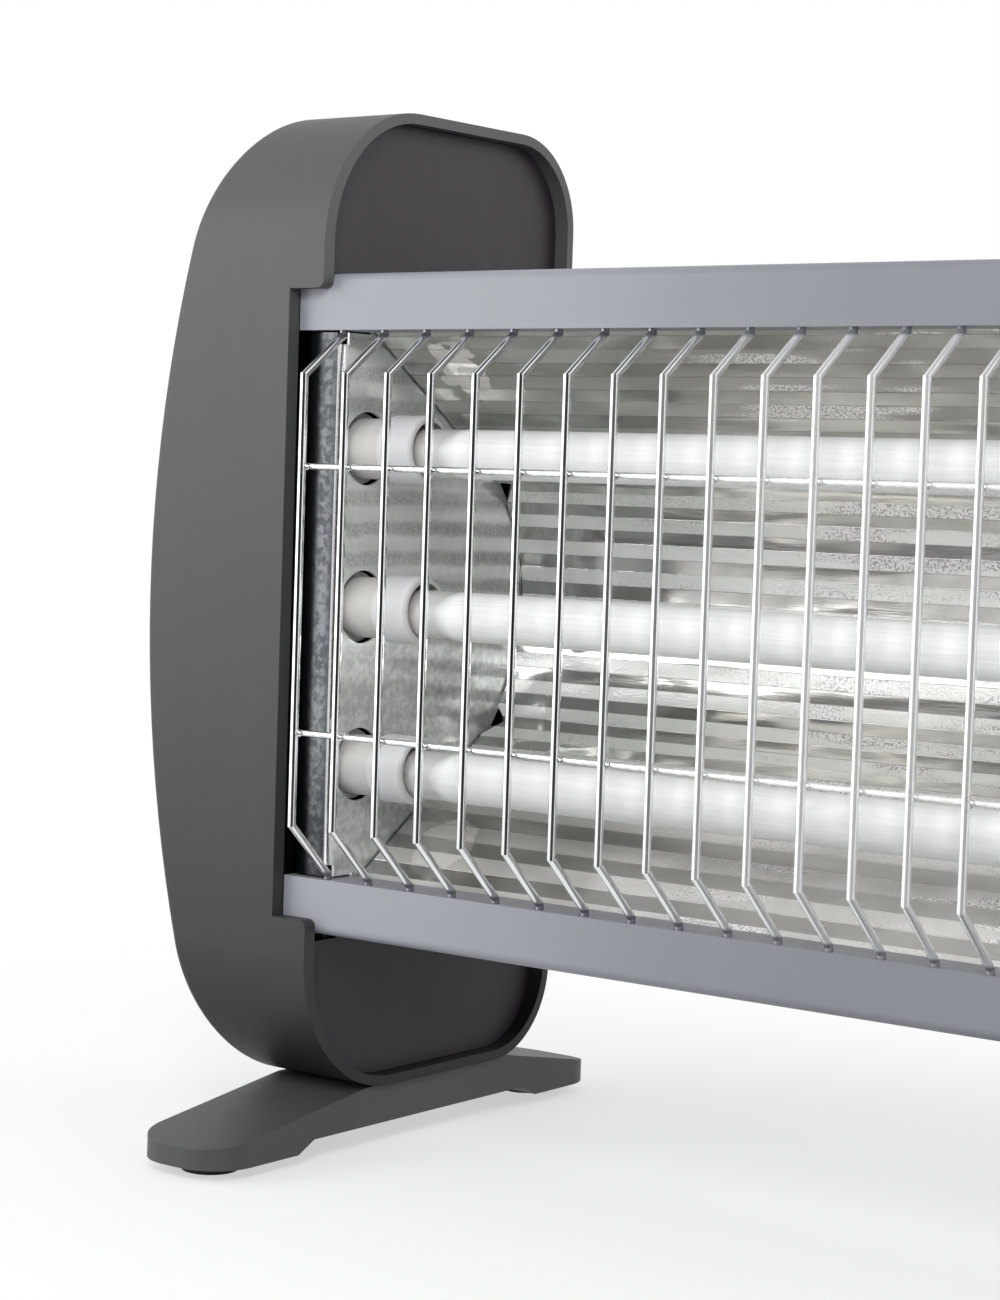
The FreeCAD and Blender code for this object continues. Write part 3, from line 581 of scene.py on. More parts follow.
@dataclass(frozen=True)
class GalvanisedSheet:
    """Zinc-coated sheet: fine crystals, painted reflection of the reflector's stripes as level bands above and mottling
    below, a front flange in painted shade with specks, and a painted highlight along its fold.
    """

    name: str
    light: Colour
    dark: Colour
    reflected_and_mottled: Colour
    # The flange tone is painted shade.
    painted_flange_shade: Colour
    # bare is the tone of the painted highlight along the flange's fold.
    bare: Colour = (0.97, 0.97, 0.97)
    roughness: float = 0.17
    reflection_pitch: float = 7.7 * MM
    reflection_wander: float = 3.0 * MM
    plain_wander: float = 8.0 * MM
    plain_edge: Span = (MID_Z - 5.0 * MM, MID_Z - 13.0 * MM)
    face: float = 156.3 * MM
    fold_y: float = -45.6 * MM
    crystal: float = 1.6 * MM
    frost_size: float = 0.7 * MM
    streak_size: float = 3.0 * MM
    mottle_size: float = 1.6 * MM
    cloud_size: float = 16.0 * MM
    depth: float = 0.05 * MM
    shade_mix: tuple[float, ...] = (0.08, 0.34, 0.30, 0.28)
    shade_edge: Span = (0.34, 0.66)
    reflection_edge: Span = (0.5, -0.7)
    reflection_least: float = 0.40
    reflection_mix: Span = (0.7, 0.3)
    reflection_grain: Span = (0.44, 0.54)
    mottle_mix: Span = (0.7, 0.3)
    mottle_edge: Span = (0.40, 0.60)
    mottle_share: float = 0.70
    mottle_least: float = 0.20
    flange_edge: Span = (-0.2 * MM, 0.7 * MM)
    middle_rise: Span = (1.0 * MM, 4.0 * MM)
    middle_fall: Span = (5.0 * MM, 9.0 * MM)
    middle_share: float = 0.020
    speck_mix: Point = (0.55, 0.25, 0.20)
    speck_edge: Span = (0.43, 0.58)
    speck_share: float = 0.015
    speck_middle: float = 0.080
    fold_rise: Span = (-0.5 * MM, -0.1 * MM)
    fold_fall: Span = (0.8 * MM, 1.7 * MM)
    fold_front: Span = (2.4 * MM, 1.6 * MM)
    metal: float = 0.55
    flange_metal: float = 0.43
    tint_dulls: float = 0.05
    streak_dulls: float = 0.08
    relief_mix: Point = (0.10, 0.02, 0.6)

    def beyond(self, span: Span) -> Span:
        """Two distances outwards from the plate's face, as places along X."""
        return self.face + span[0], self.face + span[1]

    def build(self) -> bpy.types.Material:
        """Makes the material."""
        material, book = new_material(self.name)
        place = book.place()
        x, y, z = book.axes(place)
        out = abs(x)
        cells = book.node("ShaderNodeTexVoronoi", None, {"Vector": place, "Scale": 1.0 / self.crystal}, "Color")
        tint = book.node("ShaderNodeSeparateColor", None, {0: cells})
        frost = book.noise(place, self.frost_size, 3.0)
        streak = book.noise(place, self.streak_size, 3.0, Reach.UPRIGHT)
        mottle = book.noise(place, self.mottle_size, 3.0)
        cloud = book.noise(place, self.cloud_size)
        shade = book.weigh((tint, frost, streak, cloud), self.shade_mix)
        tone = book.blend(book.step(shade, *self.shade_edge), self.dark, self.light)
        # Painted reflection: level bands at the reflector's stripe pitch stand in for its stripes mirrored in the
        # plate; below the middle the same tone gives mottling instead.
        turn = (z - MID_Z + book.sway(cloud, self.reflection_wander)) * (2 * math.pi / self.reflection_pitch)
        grain = book.step(book.weigh((frost, streak), self.reflection_mix), *self.reflection_grain)
        painted_reflection = book.step(book.math("COSINE", turn), *self.reflection_edge)
        painted_reflection = painted_reflection * (self.reflection_least + grain * (1 - self.reflection_least))
        mottled = book.step(book.weigh((mottle, cloud), self.mottle_mix), *self.mottle_edge)
        mottled = mottled * self.mottle_share + self.mottle_least
        plain = book.step(z + book.sway(cloud, self.plain_wander), *self.plain_edge)
        tone = book.blend(painted_reflection * (1 - plain) + mottled * plain, tone, self.reflected_and_mottled)
        # Painted shade: the front flange is darkened to a near-black tone, with specks and a lighter stripe in its
        # middle.
        flange = book.step(out, *self.beyond(self.flange_edge))
        middle = book.ridge(out, self.beyond(self.middle_rise), self.beyond(self.middle_fall))
        speck = book.step(book.weigh((mottle, streak, cloud), self.speck_mix), *self.speck_edge)
        spangle = speck * (self.speck_share + middle * self.speck_middle) + middle * self.middle_share
        tone = book.blend(flange, tone, book.blend(spangle, self.painted_flange_shade, self.reflected_and_mottled))
        front = book.step(y, self.fold_y + self.fold_front[0], self.fold_y + self.fold_front[1])
        # Painted highlight: a bright line along the fold at the flange's front.
        painted_fold_highlight = book.ridge(out, self.beyond(self.fold_rise), self.beyond(self.fold_fall))
        tone = book.blend(painted_fold_highlight * front, tone, self.bare)
        book.surface({
            "Base Color": tone,
            "Metallic": self.metal + flange * self.flange_metal,
            "Roughness": self.roughness + book.sway(tint, self.tint_dulls) + book.sway(streak, self.streak_dulls),
            "Normal": book.bump(book.weigh((frost, tint, cloud), self.relief_mix), self.depth),
        })
        return material


@dataclass(frozen=True)
class PlatedWire:
    """Bright plated wire: drawing marks, pits, dulled welds, grey duller tails, a whitish bloom in the middle."""

    name: str
    bright: Colour
    dull: Colour
    tail_tone: Colour = (0.30, 0.31, 0.34)
    roughness: float = 0.05
    weld_span: Span = (2.4 * MM, 1.2 * MM)
    weld_size: float = 1.5 * MM
    weld_edge: Span = (0.42, 0.62)
    weld_share: float = 0.30
    weld_dulls: float = 0.12
    tail: Span = (65.5 * MM, 66.3 * MM)
    tail_dulls: float = 0.3
    bloom_span: Span = (85.0 * MM, 10.0 * MM)
    bloom_share: float = 0.40
    bloom_dulls: float = 0.12
    mark_size: float = 0.5 * MM
    mark_rise: float = 0.4
    mark_dulls: float = 0.04
    pit_size: float = 0.35 * MM
    pit_edge: Span = (0.70, 0.76)
    pit_share: float = 0.5
    haze_size: float = 9.0 * MM
    haze_dulls: float = 0.06
    depth: float = 0.004 * MM

    def build(self) -> bpy.types.Material:
        """Makes the material."""
        material, book = new_material(self.name)
        place = book.place()
        x, _, z = book.axes(place)
        high = z - MID_Z
        marks = book.noise(place, self.mark_size, 2.0, Reach.UPRIGHT)
        haze = book.noise(place, self.haze_size)
        pits = book.step(book.noise(place, self.pit_size, 1.0), *self.pit_edge)
        near, far = (book.step(abs(high - rail), *self.weld_span) for rail in RAILS)
        weld = (near + far) * book.step(book.noise(place, self.weld_size), *self.weld_edge)
        tail = book.step(abs(high), *self.tail)
        bloom = book.step(abs(x), *self.bloom_span)
        tone = book.blend(pits * self.pit_share + weld * self.weld_share, self.bright, self.dull)
        tone = book.blend(tail, tone, self.tail_tone)
        rough = self.roughness + marks * self.mark_dulls + book.sway(haze, self.haze_dulls)
        rough = rough + weld * self.weld_dulls + tail * self.tail_dulls + bloom * self.bloom_dulls
        book.surface({
            "Base Color": tone,
            "Metallic": 1 - bloom * self.bloom_share,
            "Roughness": rough,
            "Normal": book.bump(marks * self.mark_rise - pits, self.depth),
        })
        return material


@dataclass(frozen=True)
class MilkyQuartz:
    """Opaque white drawn quartz: fine lengthwise bubbles and streaks, grey ends that are clear quartz painted with the
    shade seen through it, and painted shade at the sockets.
    """

    name: str
    white: Colour
    streak: Colour
    clear: Colour
    painted_socket_shade: Colour
    end: float = 143.6 * MM
    bare: float = 19.0 * MM
    bare_edge: Span = (-1.5 * MM, 3.0 * MM)
    painted_socket_span: Span = (5.0 * MM, 11.0 * MM)
    axis_y: float = -35.4 * MM
    dome: float = 11.0 * MM
    ragged: float = 2.0 * MM
    ragged_size: float = 4.0 * MM
    line_size: float = 0.6 * MM
    thread_size: float = 1.4 * MM
    line_depth: float = 0.025 * MM
    line_mix: Span = (0.55, 0.45)
    line_edge: Span = (0.40, 0.62)
    relief_mix: Span = (0.5, 0.5)
    cloud_size: float = 9.0 * MM
    cloud_edge: Span = (0.5, 0.75)
    cloud_share: float = 0.5
    roughness: float = 0.42
    line_dulls: float = 0.16
    clear_shines: float = 0.25
    coat: float = 0.12
    coat_roughness: float = 0.25
    milk: float = 0.6
    milk_depth: float = 4.0 * MM

    def build(self) -> bpy.types.Material:
        """Makes the material."""
        material, book = new_material(self.name)
        place = book.place()
        x, y, _ = book.axes(place)
        lines = book.noise(place, self.line_size, 3.0, Reach.ALONG)
        threads = book.noise(place, self.thread_size, 2.0, Reach.THREADS)
        cloud = book.noise(place, self.cloud_size, 3.0, Reach.CLOUDS)
        inward = self.end - abs(x)
        ragged = inward + book.sway(book.noise(place, self.ragged_size), self.ragged)
        side = y - self.axis_y
        filled = book.step(ragged + side * side / self.dome, self.bare + self.bare_edge[0],
                           self.bare + self.bare_edge[1])
        drawn = book.weigh((lines, threads), self.line_mix)
        tone = book.blend(book.step(drawn, *self.line_edge), self.streak, self.white)
        tone = book.blend(book.step(cloud, *self.cloud_edge) * self.cloud_share, tone, self.streak)
        # Painted shade: the clear ends are painted grey for the dark interior seen through them, turning darker and
        # warmer inside the sockets.
        ends = book.blend(book.step(inward, *self.painted_socket_span), self.painted_socket_shade, self.clear)
        book.surface({
            "Base Color": book.blend(filled, ends, tone),
            "Roughness": self.roughness + lines * self.line_dulls - (1 - filled) * self.clear_shines,
            "Normal": book.bump(book.weigh((lines, threads), self.relief_mix), self.line_depth),
            "Coat Weight": self.coat,
            "Coat Roughness": self.coat_roughness,
            "Subsurface Weight": self.milk,
            "Subsurface Radius": WHITE,
            "Subsurface Scale": self.milk_depth,
        })
        return material


@dataclass(frozen=True)
class Steatite:
    """Pressed white ceramic with a dry face, pores, warmer clouds, and painted shade on the neck, the rear and the
    mouth.
    """

    name: str
    white: Colour
    warm_and_shaded: Colour
    shaded: Colour
    pore: Colour = (0.46, 0.44, 0.41)
    roughness: float = 0.5
    collar: float = 147.0 * MM
    collar_edge: Span = (-0.1 * MM, 0.2 * MM)
    rear_edge: Span = (10.5 * MM, 11.2 * MM)
    mouth: Span = (136.6 * MM, 136.1 * MM)
    mouth_share: float = 0.25
    pore_size: float = 0.4 * MM
    pore_depth: float = 0.03 * MM
    pore_edge: Span = (0.68, 0.78)
    pore_share: float = 0.22
    cloud_size: float = 6.0 * MM
    cloud_edge: Span = (0.45, 0.75)
    cloud_share: float = 0.25
    cloud_dulls: float = 0.15

    def build(self) -> bpy.types.Material:
        """Makes the material."""
        material, book = new_material(self.name)
        place = book.place()
        x, _, _ = book.axes(place)
        out = abs(x)
        behind = book.step(out, self.collar + self.collar_edge[0], self.collar + self.collar_edge[1])
        rear = book.step(out, self.collar + self.rear_edge[0], self.collar + self.rear_edge[1])
        pores = book.noise(place, self.pore_size)
        cloud = book.noise(place, self.cloud_size, 3.0)
        # Painted shade: the neck beyond the collar, the part behind the plate and the mouth are darkened and warmed;
        # the cloudy warmth is the ceramic's own tone.
        tone = book.blend(behind, self.white, self.shaded)
        tone = book.blend(rear, tone, self.warm_and_shaded)
        tone = book.blend(book.step(cloud, *self.cloud_edge) * self.cloud_share, tone, self.warm_and_shaded)
        tone = book.blend(book.step(out, *self.mouth) * self.mouth_share, tone, self.warm_and_shaded)
        tone = book.blend(book.step(pores, *self.pore_edge) * self.pore_share, tone, self.pore)
        book.surface({
            "Base Color": tone,
            "Roughness": self.roughness + book.sway(cloud, self.cloud_dulls),
            "Normal": book.bump(pores, self.pore_depth),
        })
        return material


@dataclass(frozen=True)
class TurnedMetal:
    """Plain bright metal with brushed marks, tarnish and small scratches."""

    name: str
    bright: Colour
    tarnish: Colour
    roughness: float = 0.28
    mark_size: float = 0.3 * MM
    mark_depth: float = 0.01 * MM
    mark_dulls: float = 0.2
    cloud_size: float = 4.0 * MM
    cloud_span: Span = (0.45, 0.75)

    def build(self) -> bpy.types.Material:
        """Makes the material."""
        material, book = new_material(self.name)
        place = book.place()
        marks = book.noise(place, self.mark_size, 2.0, Reach.ALONG)
        cloud = book.noise(place, self.cloud_size, 3.0)
        book.surface({
            "Base Color": book.blend(book.step(cloud, *self.cloud_span), self.bright, self.tarnish),
            "Metallic": 1.0,
            "Roughness": self.roughness + book.sway(marks, self.mark_dulls),
            "Normal": book.bump(marks, self.mark_depth),
        })
        return material


FINISHES = (
    SatinPaint("casing_paint", (0.288, 0.296, 0.333), (0.266, 0.274, 0.314)),
    BandedAluminium("reflector_aluminium", polished=(0.56, 0.55, 0.525), embossed=(0.97, 0.98, 0.95),
                    shaded=(0.40, 0.39, 0.365), dust=(0.92, 0.91, 0.91)),
    GalvanisedSheet("galvanised_sheet", light=(0.97, 0.98, 0.97), dark=(0.80, 0.83, 0.83),
                    reflected_and_mottled=(0.57, 0.60, 0.60), painted_flange_shade=(0.030, 0.033, 0.037)),
    PlatedWire("guard_chrome", bright=(0.90, 0.90, 0.91), dull=(0.42, 0.41, 0.40)),
    MilkyQuartz("milky_quartz", white=(0.94, 0.94, 0.94), streak=(0.85, 0.86, 0.86),
                clear=(0.52, 0.52, 0.52), painted_socket_shade=(0.33, 0.31, 0.295)),
    TurnedMetal("heating_wire", (0.30, 0.28, 0.26), (0.12, 0.11, 0.10), 0.5),
    Steatite("bush_ceramic", white=(0.58, 0.58, 0.59), warm_and_shaded=(0.49, 0.48, 0.46), shaded=(0.47, 0.46, 0.445)),
    TurnedMetal("terminal_brass", (0.78, 0.60, 0.30), (0.42, 0.30, 0.14)),
    # The cap carries painted shade towards its foot, standing in for light from above.
    MouldedPlastic("cap_plastic", (0.082, 0.082, 0.082), 0.48, gloss=0.25, painted_shade_below=0.64),
    MouldedPlastic("cover_plastic", (0.020, 0.0175, 0.022), 0.5, gloss=0.3),
    MouldedPlastic("foot_plastic", (0.060, 0.060, 0.062), 0.5),
    MouldedPlastic("pad_rubber", (0.025, 0.025, 0.025), 0.8, grain=0.5 * MM, depth=0.05 * MM),
    TurnedMetal("screw_steel", (0.66, 0.66, 0.64), (0.40, 0.39, 0.36)),
    MouldedPlastic("switch_plastic", (0.022, 0.022, 0.023), 0.28, depth=0.006 * MM),
    MouldedPlastic("rocker_plastic", (0.030, 0.030, 0.032), 0.25, depth=0.006 * MM),
    MouldedPlastic("plunger_plastic", (0.55, 0.55, 0.53), 0.4),
    MouldedPlastic("block_plastic", (0.60, 0.60, 0.57), 0.45),
)


def build_finishes() -> dict[str, bpy.types.Material]:
    """Builds each finish once.

    Returns:
        Materials by the record's slot name.
    """
    return {finish.name: finish.build() for finish in FINISHES}


@dataclass
class CadPieces:
    """The CAD nodes, which keep their meshes and take the finishes of their slots."""

    materials: dict[str, bpy.types.Material]

    def dress(self) -> int:
        """Gives each CAD node its finish.

        Returns:
            The number of nodes dressed.
        """
        slots = {part["node"]: part["material_slot"] for part in frame["record"]["subparts"]}
        for name, piece in frame["nodes"].items():
            piece.data.materials.clear()
            piece.data.materials.append(self.materials[slots[name]])
        return len(slots)


@dataclass
class Fitting:
    """A small piece that is made here and rides on a CAD body."""

    materials: dict[str, bpy.types.Material]

    def add(self, name: str, form: bmesh.types.BMesh, slot: str, body: str) -> bpy.types.Object:
        """Turns a form into a smooth piece of the heater.

        Args:
            name: name of the piece.
            form: its mesh, which is freed.
            slot: the record's slot for its finish.
            body: the CAD body it rides on.

        Returns:
            The new object.
        """
        for face in form.faces:
            face.smooth = True
        mesh = bpy.data.meshes.new(name)
        form.to_mesh(mesh)
        form.free()
        mesh.materials.append(self.materials[slot])
        piece = bpy.data.objects.new(name, mesh)
        bpy.context.scene.collection.objects.link(piece)
        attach(piece, body)
        return piece

    def ball(self, form: bmesh.types.BMesh, place: Matrix, radii: Point) -> None:
        """Adds a ball with three radii to a form.

        Args:
            form: the form to add to.
            place: where its middle sits and how it is turned.
            radii: half its sizes.
        """
        bmesh.ops.create_uvsphere(form, u_segments=24, v_segments=12, radius=1.0,
                                  matrix=place @ Matrix.Diagonal((*radii, 1.0)))


@dataclass
class GuardWelds(Fitting):
    """Small flattened weld beads where the uprights cross the rails."""

    pitch: float = 13.0 * MM
    count: int = 25
    wire: float = 1.0 * MM
    bead: float = 0.75 * MM
    beside: float = 0.82
    behind: float = 0.95
    skew: float = 0.2
    squash: Point = (0.9, 0.8, 1.15)

    def build(self) -> bpy.types.Object:
        """Makes the beads as one piece."""
        form = bmesh.new()
        first = -self.pitch * (self.count - 1) / 2
        shape = Matrix.Diagonal((*self.squash, 1.0))
        for k in range(self.count):
            for rail in RAILS:
                for side in (-1, 1):
                    spot = Vector((first + self.pitch * k + side * self.wire * self.beside,
                                   GUARD_Y + self.wire * self.behind,
                                   MID_Z + rail - self.wire * self.skew * side))
                    bmesh.ops.create_icosphere(form, subdivisions=2, radius=self.bead,
                                               matrix=Matrix.Translation(spot) @ shape)
        return self.add("guard_welds", form, "guard_chrome", "heater")


class Facing(Enum):
    """Which way a screw's head looks, as its turn about X from upright."""

    REAR = -0.5 * math.pi
    DOWN = math.pi


@dataclass
class CrossScrews(Fitting):
    """Pan-head screws at the corners of their CAD node's box: domed heads, cross recesses and threads."""

    node: str
    facing: Facing
    head_radius: float
    head_height: float
    shank_radius: float
    thread: float = 1.0 * MM
    root: float = 0.8
    dome: tuple[Span, ...] = ((0.0, 1.0), (0.40, 0.96), (0.72, 0.80), (0.92, 0.52), (1.0, 0.20), (1.0, 0.0))
    arm_long: float = 1.15
    arm_narrow: float = 0.26
    arm_deep: float = 1.3
    arm_taper: float = 0.72
    first_turn: float = 0.4
    next_turn: float = 0.9
    sharp: float = math.radians(35.0)

    def spots(self) -> tuple[list[Vector], float]:
        """Where the screws sit.

        Returns:
            The middle of each head's seat, and the length below it.
        """
        low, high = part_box(self.node)
        xs = (low.x + self.head_radius, high.x - self.head_radius)
        if self.facing is Facing.REAR:
            seat = high.y - self.head_height
            zs = (low.z + self.head_radius, high.z - self.head_radius)
            return [Vector((x, seat, z)) for x in xs for z in zs], seat - low.y
        seat = low.z + self.head_height
        ys = (low.y + self.head_radius, high.y - self.head_radius)
        return [Vector((x, y, seat)) for x in xs for y in ys], high.z - seat

    def turned(self, length: float) -> bmesh.types.BMesh:
        """The screw before its recess is cut, head upwards and seat at zero."""
        profile = [(self.head_radius * out, self.head_height * up) for out, up in self.dome]
        profile.append((self.shank_radius * self.root, 0.0))
        for k in range(int(length / self.thread)):
            profile.append((self.shank_radius, -self.thread * (k + 0.5)))
            profile.append((self.shank_radius * self.root, -self.thread * (k + 0.9)))
        profile.append((0.0, -length))
        form = bmesh.new()
        points = [form.verts.new((out, 0.0, up)) for out, up in profile]
        lines = [form.edges.new(pair) for pair in zip(points, points[1:])]
        bmesh.ops.spin(form, geom=points + lines, axis=(0, 0, 1), cent=(0, 0, 0), steps=32, angle=2 * math.pi)
        bmesh.ops.remove_doubles(form, verts=form.verts, dist=0.001 * MM)
        bmesh.ops.recalc_face_normals(form, faces=form.faces)
        return form

    def arm(self, across: bool) -> bmesh.types.BMesh:
        """One tapered arm of the cross that is cut out of the head."""
        long, narrow = self.head_radius * self.arm_long, self.head_radius * self.arm_narrow
        sides = (narrow, long) if across else (long, narrow)
        block = Matrix.Diagonal((*sides, self.head_height * self.arm_deep, 1.0))
        form = bmesh.new()
        bmesh.ops.create_cube(form, size=1.0, matrix=Matrix.Translation((0, 0, self.head_height)) @ block)
        for vert in form.verts:
            if vert.co.z < self.head_height:
                vert.co.x *= self.arm_taper
                vert.co.y *= self.arm_taper
        return form

    def recessed(self, length: float) -> bpy.types.Mesh:
        """The screw with its cross recess."""
        pieces = []
        for form in (self.turned(length), self.arm(False), self.arm(True)):
            mesh = bpy.data.meshes.new("blank")
            form.to_mesh(mesh)
            form.free()
            pieces.append(bpy.data.objects.new("blank", mesh))
            bpy.context.scene.collection.objects.link(pieces[-1])
        for tool in pieces[1:]:
            cut = pieces[0].modifiers.new("recess", "BOOLEAN")
            cut.operation = "DIFFERENCE"
            cut.object = tool
        done = bpy.data.meshes.new_from_object(pieces[0].evaluated_get(bpy.context.evaluated_depsgraph_get()))
        for piece in pieces:
            bpy.data.meshes.remove(piece.data)
        return done

    def build(self) -> bpy.types.Object:
        """Makes the screws as one piece that stands for the CAD screws."""
        spots, length = self.spots()
        screw = self.recessed(length)
        upright = Matrix.Rotation(self.facing.value, 4, "X")
        form = bmesh.new()
        for k, spot in enumerate(spots):
            copy = screw.copy()
            turn = Matrix.Rotation(self.first_turn + self.next_turn * k, 4, "Z")
            copy.transform(Matrix.Translation(spot) @ upright @ turn)
            form.from_mesh(copy)
            bpy.data.meshes.remove(copy)
        bpy.data.meshes.remove(screw)
        piece = self.add(self.node + "_crossed", form, "screw_steel", "heater")
        piece.data.set_sharp_from_angle(angle=self.sharp)
        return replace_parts(piece, self.node)


@dataclass
class RockerRibs(Fitting):
    """Raised grip ribs on both halves of a rocker."""

    body: str
    pin: Point
    tilt: float = math.radians(10.0)
    middle: float = 3.6 * MM
    ends: float = 5.0 * MM
    half: float = 7.2 * MM
    shares: tuple[float, ...] = (-0.80, -0.62, -0.44, 0.44, 0.62, 0.80)
    rib: Point = (3.1 * MM, 0.35 * MM, 0.40 * MM)

    def build(self) -> bpy.types.Object:
        """Makes the ribs of one rocker as one piece."""
        form = bmesh.new()
        seat = Matrix.Translation(self.pin) @ Matrix.Rotation(self.tilt, 4, "X")
        for share in self.shares:
            proud = self.middle + (self.ends - self.middle) * abs(share)
            self.ball(form, seat @ Matrix.Translation((0, -proud, self.half * share)), self.rib)
        return self.add(self.body + "_ribs", form, "rocker_plastic", self.body)


@dataclass
class PlateRivets(Fitting):
    """A small domed rivet at the lower front of each end plate."""

    spot: Point = (156.2 * MM, -36.0 * MM, 72.4 * MM)
    dome: Point = (0.6 * MM, 1.2 * MM, 1.2 * MM)

    def build(self) -> bpy.types.Object:
        """Makes both rivets as one piece."""
        form = bmesh.new()
        x, y, z = self.spot
        for side in (-1, 1):
            self.ball(form, Matrix.Translation((x * side, y, z)), self.dome)
        return self.add("plate_rivets", form, "screw_steel", "heater")


@dataclass(frozen=True)
class Lamp:
    """A square soft lamp that isn't itself in the picture."""

    name: str
    spot: Point
    aim: Point
    size: float
    power: float

    def build(self) -> None:
        """Hangs the lamp and aims it."""
        data = bpy.data.lights.new(self.name, "AREA")
        data.shape = "SQUARE"
        data.size = self.size
        data.energy = self.power
        lamp = bpy.data.objects.new(self.name, data)
        lamp.location = self.spot
        lamp.rotation_euler = (Vector(self.aim) - Vector(self.spot)).to_track_quat("-Z", "Y").to_euler()
        lamp.visible_camera = False
        bpy.context.scene.collection.objects.link(lamp)


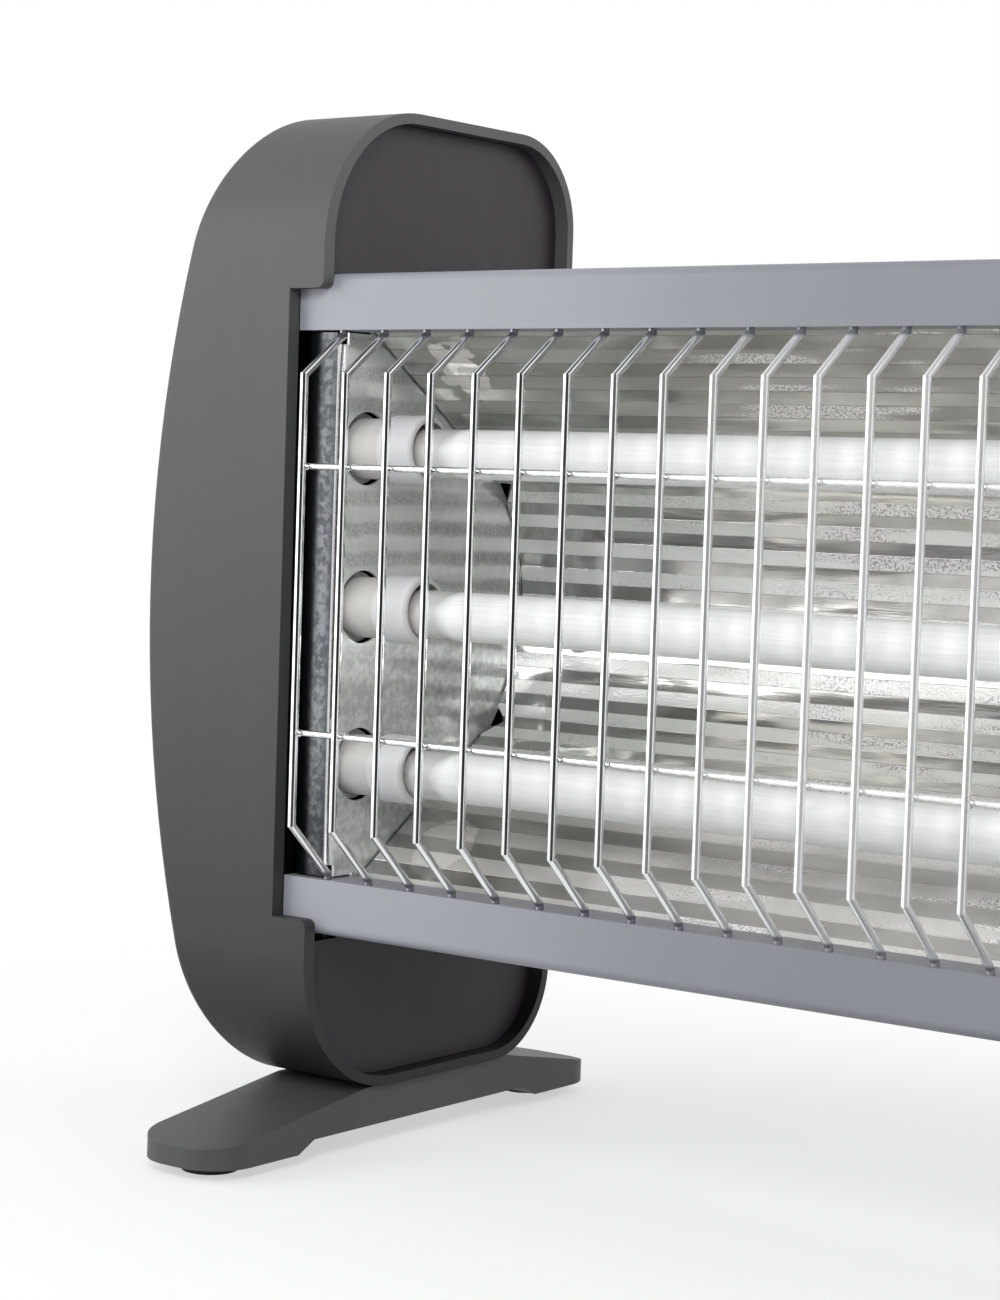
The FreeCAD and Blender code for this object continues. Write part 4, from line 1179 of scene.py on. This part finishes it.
@dataclass
class Studio:
    """Plain floor, soft light and the camera at the photograph's viewpoint."""

    lens: float = 78.78
    sensor: float = 36.0
    nearest: float = 0.01
    turn: float = math.radians(36.72)
    tilt: float = math.radians(3.39)
    roll: float = math.radians(1.887)
    stand: Point = (0.29578, -0.58312, 0.17207)
    lamps: tuple[Lamp, ...] = (
        Lamp("key", (-0.50, -0.40, 0.25), (-0.12, 0.0, 0.14), 0.45, 1.7),
        Lamp("fill", (0.32, -0.74, 0.60), (-0.08, 0.0, 0.14), 0.3, 5.5),
        Lamp("rear", (0.7, 0.9, 0.8), (0.0, 0.0, 0.14), 0.8, 5.0),
    )
    gap_turn: float = math.radians(-59.0)
    gap_edge: Span = (0.75, 0.86)
    gap_depth: float = 0.97
    top_edge: Span = (0.86, 0.95)
    top_depth: float = 0.9
    even: float = 0.42
    even_behind: float = 0.38
    behind_edge: Span = (-0.5, 0.6)
    even_below: float = 0.10
    below_edge: Span = (0.1, -0.5)
    floor_half: float = 6.0
    floor_grain: float = 0.6 * MM
    floor_dark: Colour = (0.86, 0.86, 0.86)
    floor_light: Colour = (0.90, 0.90, 0.90)
    floor_dim: Colour = (0.60, 0.60, 0.60)
    floor_gap: Colour = (0.03, 0.03, 0.03)
    pool: Point = (0.55, 1.0, 0.0)
    pool_edge: Span = (0.10, 0.30)
    pool_white: float = 0.55

    def camera(self) -> None:
        """Places the camera."""
        data = bpy.data.cameras.new("camera")
        data.sensor_fit = "VERTICAL"
        data.sensor_height = self.sensor
        data.lens = self.lens
        data.clip_start = self.nearest
        right = Vector((math.cos(self.turn), math.sin(self.turn), 0))
        back = Vector((math.sin(self.turn) * math.cos(self.tilt), -math.cos(self.turn) * math.cos(self.tilt),
                       math.sin(self.tilt)))
        over = back.cross(right)
        across = right * math.cos(self.roll) + over * math.sin(self.roll)
        upward = over * math.cos(self.roll) - right * math.sin(self.roll)
        view = Matrix((across, upward, back)).transposed().to_4x4()
        camera = bpy.data.objects.new("camera", data)
        camera.matrix_world = Matrix.Translation(Vector(self.stand)) @ view
        bpy.context.scene.collection.objects.link(camera)
        bpy.context.scene.camera = camera

    def rays(self, book: NodeBook) -> tuple[Sock, Sock]:
        """Which rays show the background.

        Args:
            book: the tree to add to.

        Returns:
            One for the camera's own rays, and one for these and for mirrored rays and rays through glass.
        """
        outputs = book.add("ShaderNodeLightPath").outputs
        camera, mirrored, through = (Sock(book, outputs[name]) for name in (
            "Is Camera Ray", "Is Glossy Ray", "Is Transmission Ray"))
        return camera, book.math("MAXIMUM", camera, book.math("MAXIMUM", mirrored, through))

    def gap(self, book: NodeBook, x: Sock, y: Sock) -> Sock:
        """One towards the unlit part of the studio, for a direction's first two parts."""
        ahead = x * math.cos(self.gap_turn) + y * math.sin(self.gap_turn)
        return book.step(ahead, *self.gap_edge)

    def world(self) -> None:
        """White surroundings, a dim gap in the studio at the front right, and even light from all sides."""
        world = bpy.data.worlds.new("studio")
        world.use_nodes = True
        bpy.context.scene.world = world
        book = NodeBook(world.node_tree)
        camera, seen = self.rays(book)
        x, y, z = book.axes(book.node("ShaderNodeTexCoord", output="Generated"))
        overhead = book.step(z, *self.top_edge) * self.top_depth
        mirrored = (1 - self.gap(book, x, y) * self.gap_depth) * (1 - overhead)
        behind = book.step(y, *self.behind_edge) * self.even_behind
        even = self.even + behind - book.step(z, *self.below_edge) * self.even_below
        strength = camera + (1 - camera) * (seen * mirrored + (1 - seen) * even)
        shader = book.node("ShaderNodeBackground", None, {"Color": WHITE, "Strength": strength})
        book.close("ShaderNodeOutputWorld", shader)

    def paper(self) -> bpy.types.Material:
        """Pale floor paper: it takes the shadow, runs out into white, and has the gap for mirrored rays."""
        material, book = new_material("floor_paper")
        place = book.place()
        camera, seen = self.rays(book)
        grain = book.blend(book.noise(place, self.floor_grain), self.floor_dark, self.floor_light)
        paper, dim, black = (book.node("ShaderNodeBsdfDiffuse", None, {"Color": colour}) for colour in (
            grain, self.floor_dim, self.floor_gap))
        white = book.node("ShaderNodeEmission", None, {"Color": WHITE, "Strength": 1.0})
        reach = book.vector("LENGTH", book.vector("MULTIPLY", place, self.pool), output="Value")
        far = book.step(reach, *self.pool_edge) * (1 - self.pool_white) + self.pool_white
        x, y, _ = book.axes(book.vector("NORMALIZE", book.vector("MULTIPLY", place, (1.0, 1.0, 0.0))))
        gap = self.gap(book, x, y) * (1 - camera)
        pale = book.node("ShaderNodeMixShader", None, {0: far, 1: paper, 2: white})
        shown = book.node("ShaderNodeMixShader", None, {0: gap, 1: pale, 2: black})
        book.close("ShaderNodeOutputMaterial", book.node("ShaderNodeMixShader", None, {0: seen, 1: dim, 2: shown}))
        return material

    def floor(self) -> None:
        """A wide floor under the heater."""
        form = bmesh.new()
        bmesh.ops.create_grid(form, x_segments=1, y_segments=1, size=self.floor_half)
        mesh = bpy.data.meshes.new("floor")
        form.to_mesh(mesh)
        form.free()
        mesh.materials.append(self.paper())
        floor = bpy.data.objects.new("floor", mesh)
        bpy.context.scene.collection.objects.link(floor)

    def build(self) -> None:
        """Sets up camera, lamps, surroundings and floor."""
        self.camera()
        for lamp in self.lamps:
            lamp.build()
        self.world()
        self.floor()
        bpy.context.scene.view_settings.view_transform = "Standard"


def main() -> None:
    """Builds the finishes, the fittings and the studio in order."""
    logging.basicConfig(level=logging.INFO, format="%(message)s")
    materials = build_finishes()
    LOG.info("finishes: %d", len(materials))
    LOG.info("dressed CAD nodes: %d", CadPieces(materials).dress())
    fittings = (
        GuardWelds(materials),
        CrossScrews(materials, "cap_screws", Facing.REAR, 3.4 * MM, 2.0 * MM, 1.5 * MM),
        CrossScrews(materials, "foot_screws", Facing.DOWN, 3.8 * MM, 2.4 * MM, 1.8 * MM),
        RockerRibs(materials, "upper_rocker", (191.45 * MM, -49.5 * MM, 160.0 * MM)),
        RockerRibs(materials, "lower_rocker", (191.45 * MM, -49.5 * MM, 120.0 * MM)),
        PlateRivets(materials),
    )
    for fitting in fittings:
        LOG.info("piece: %s", fitting.build().name)
    Studio().build()
    LOG.info("studio ready")


if __name__ == "__main__":
    main()
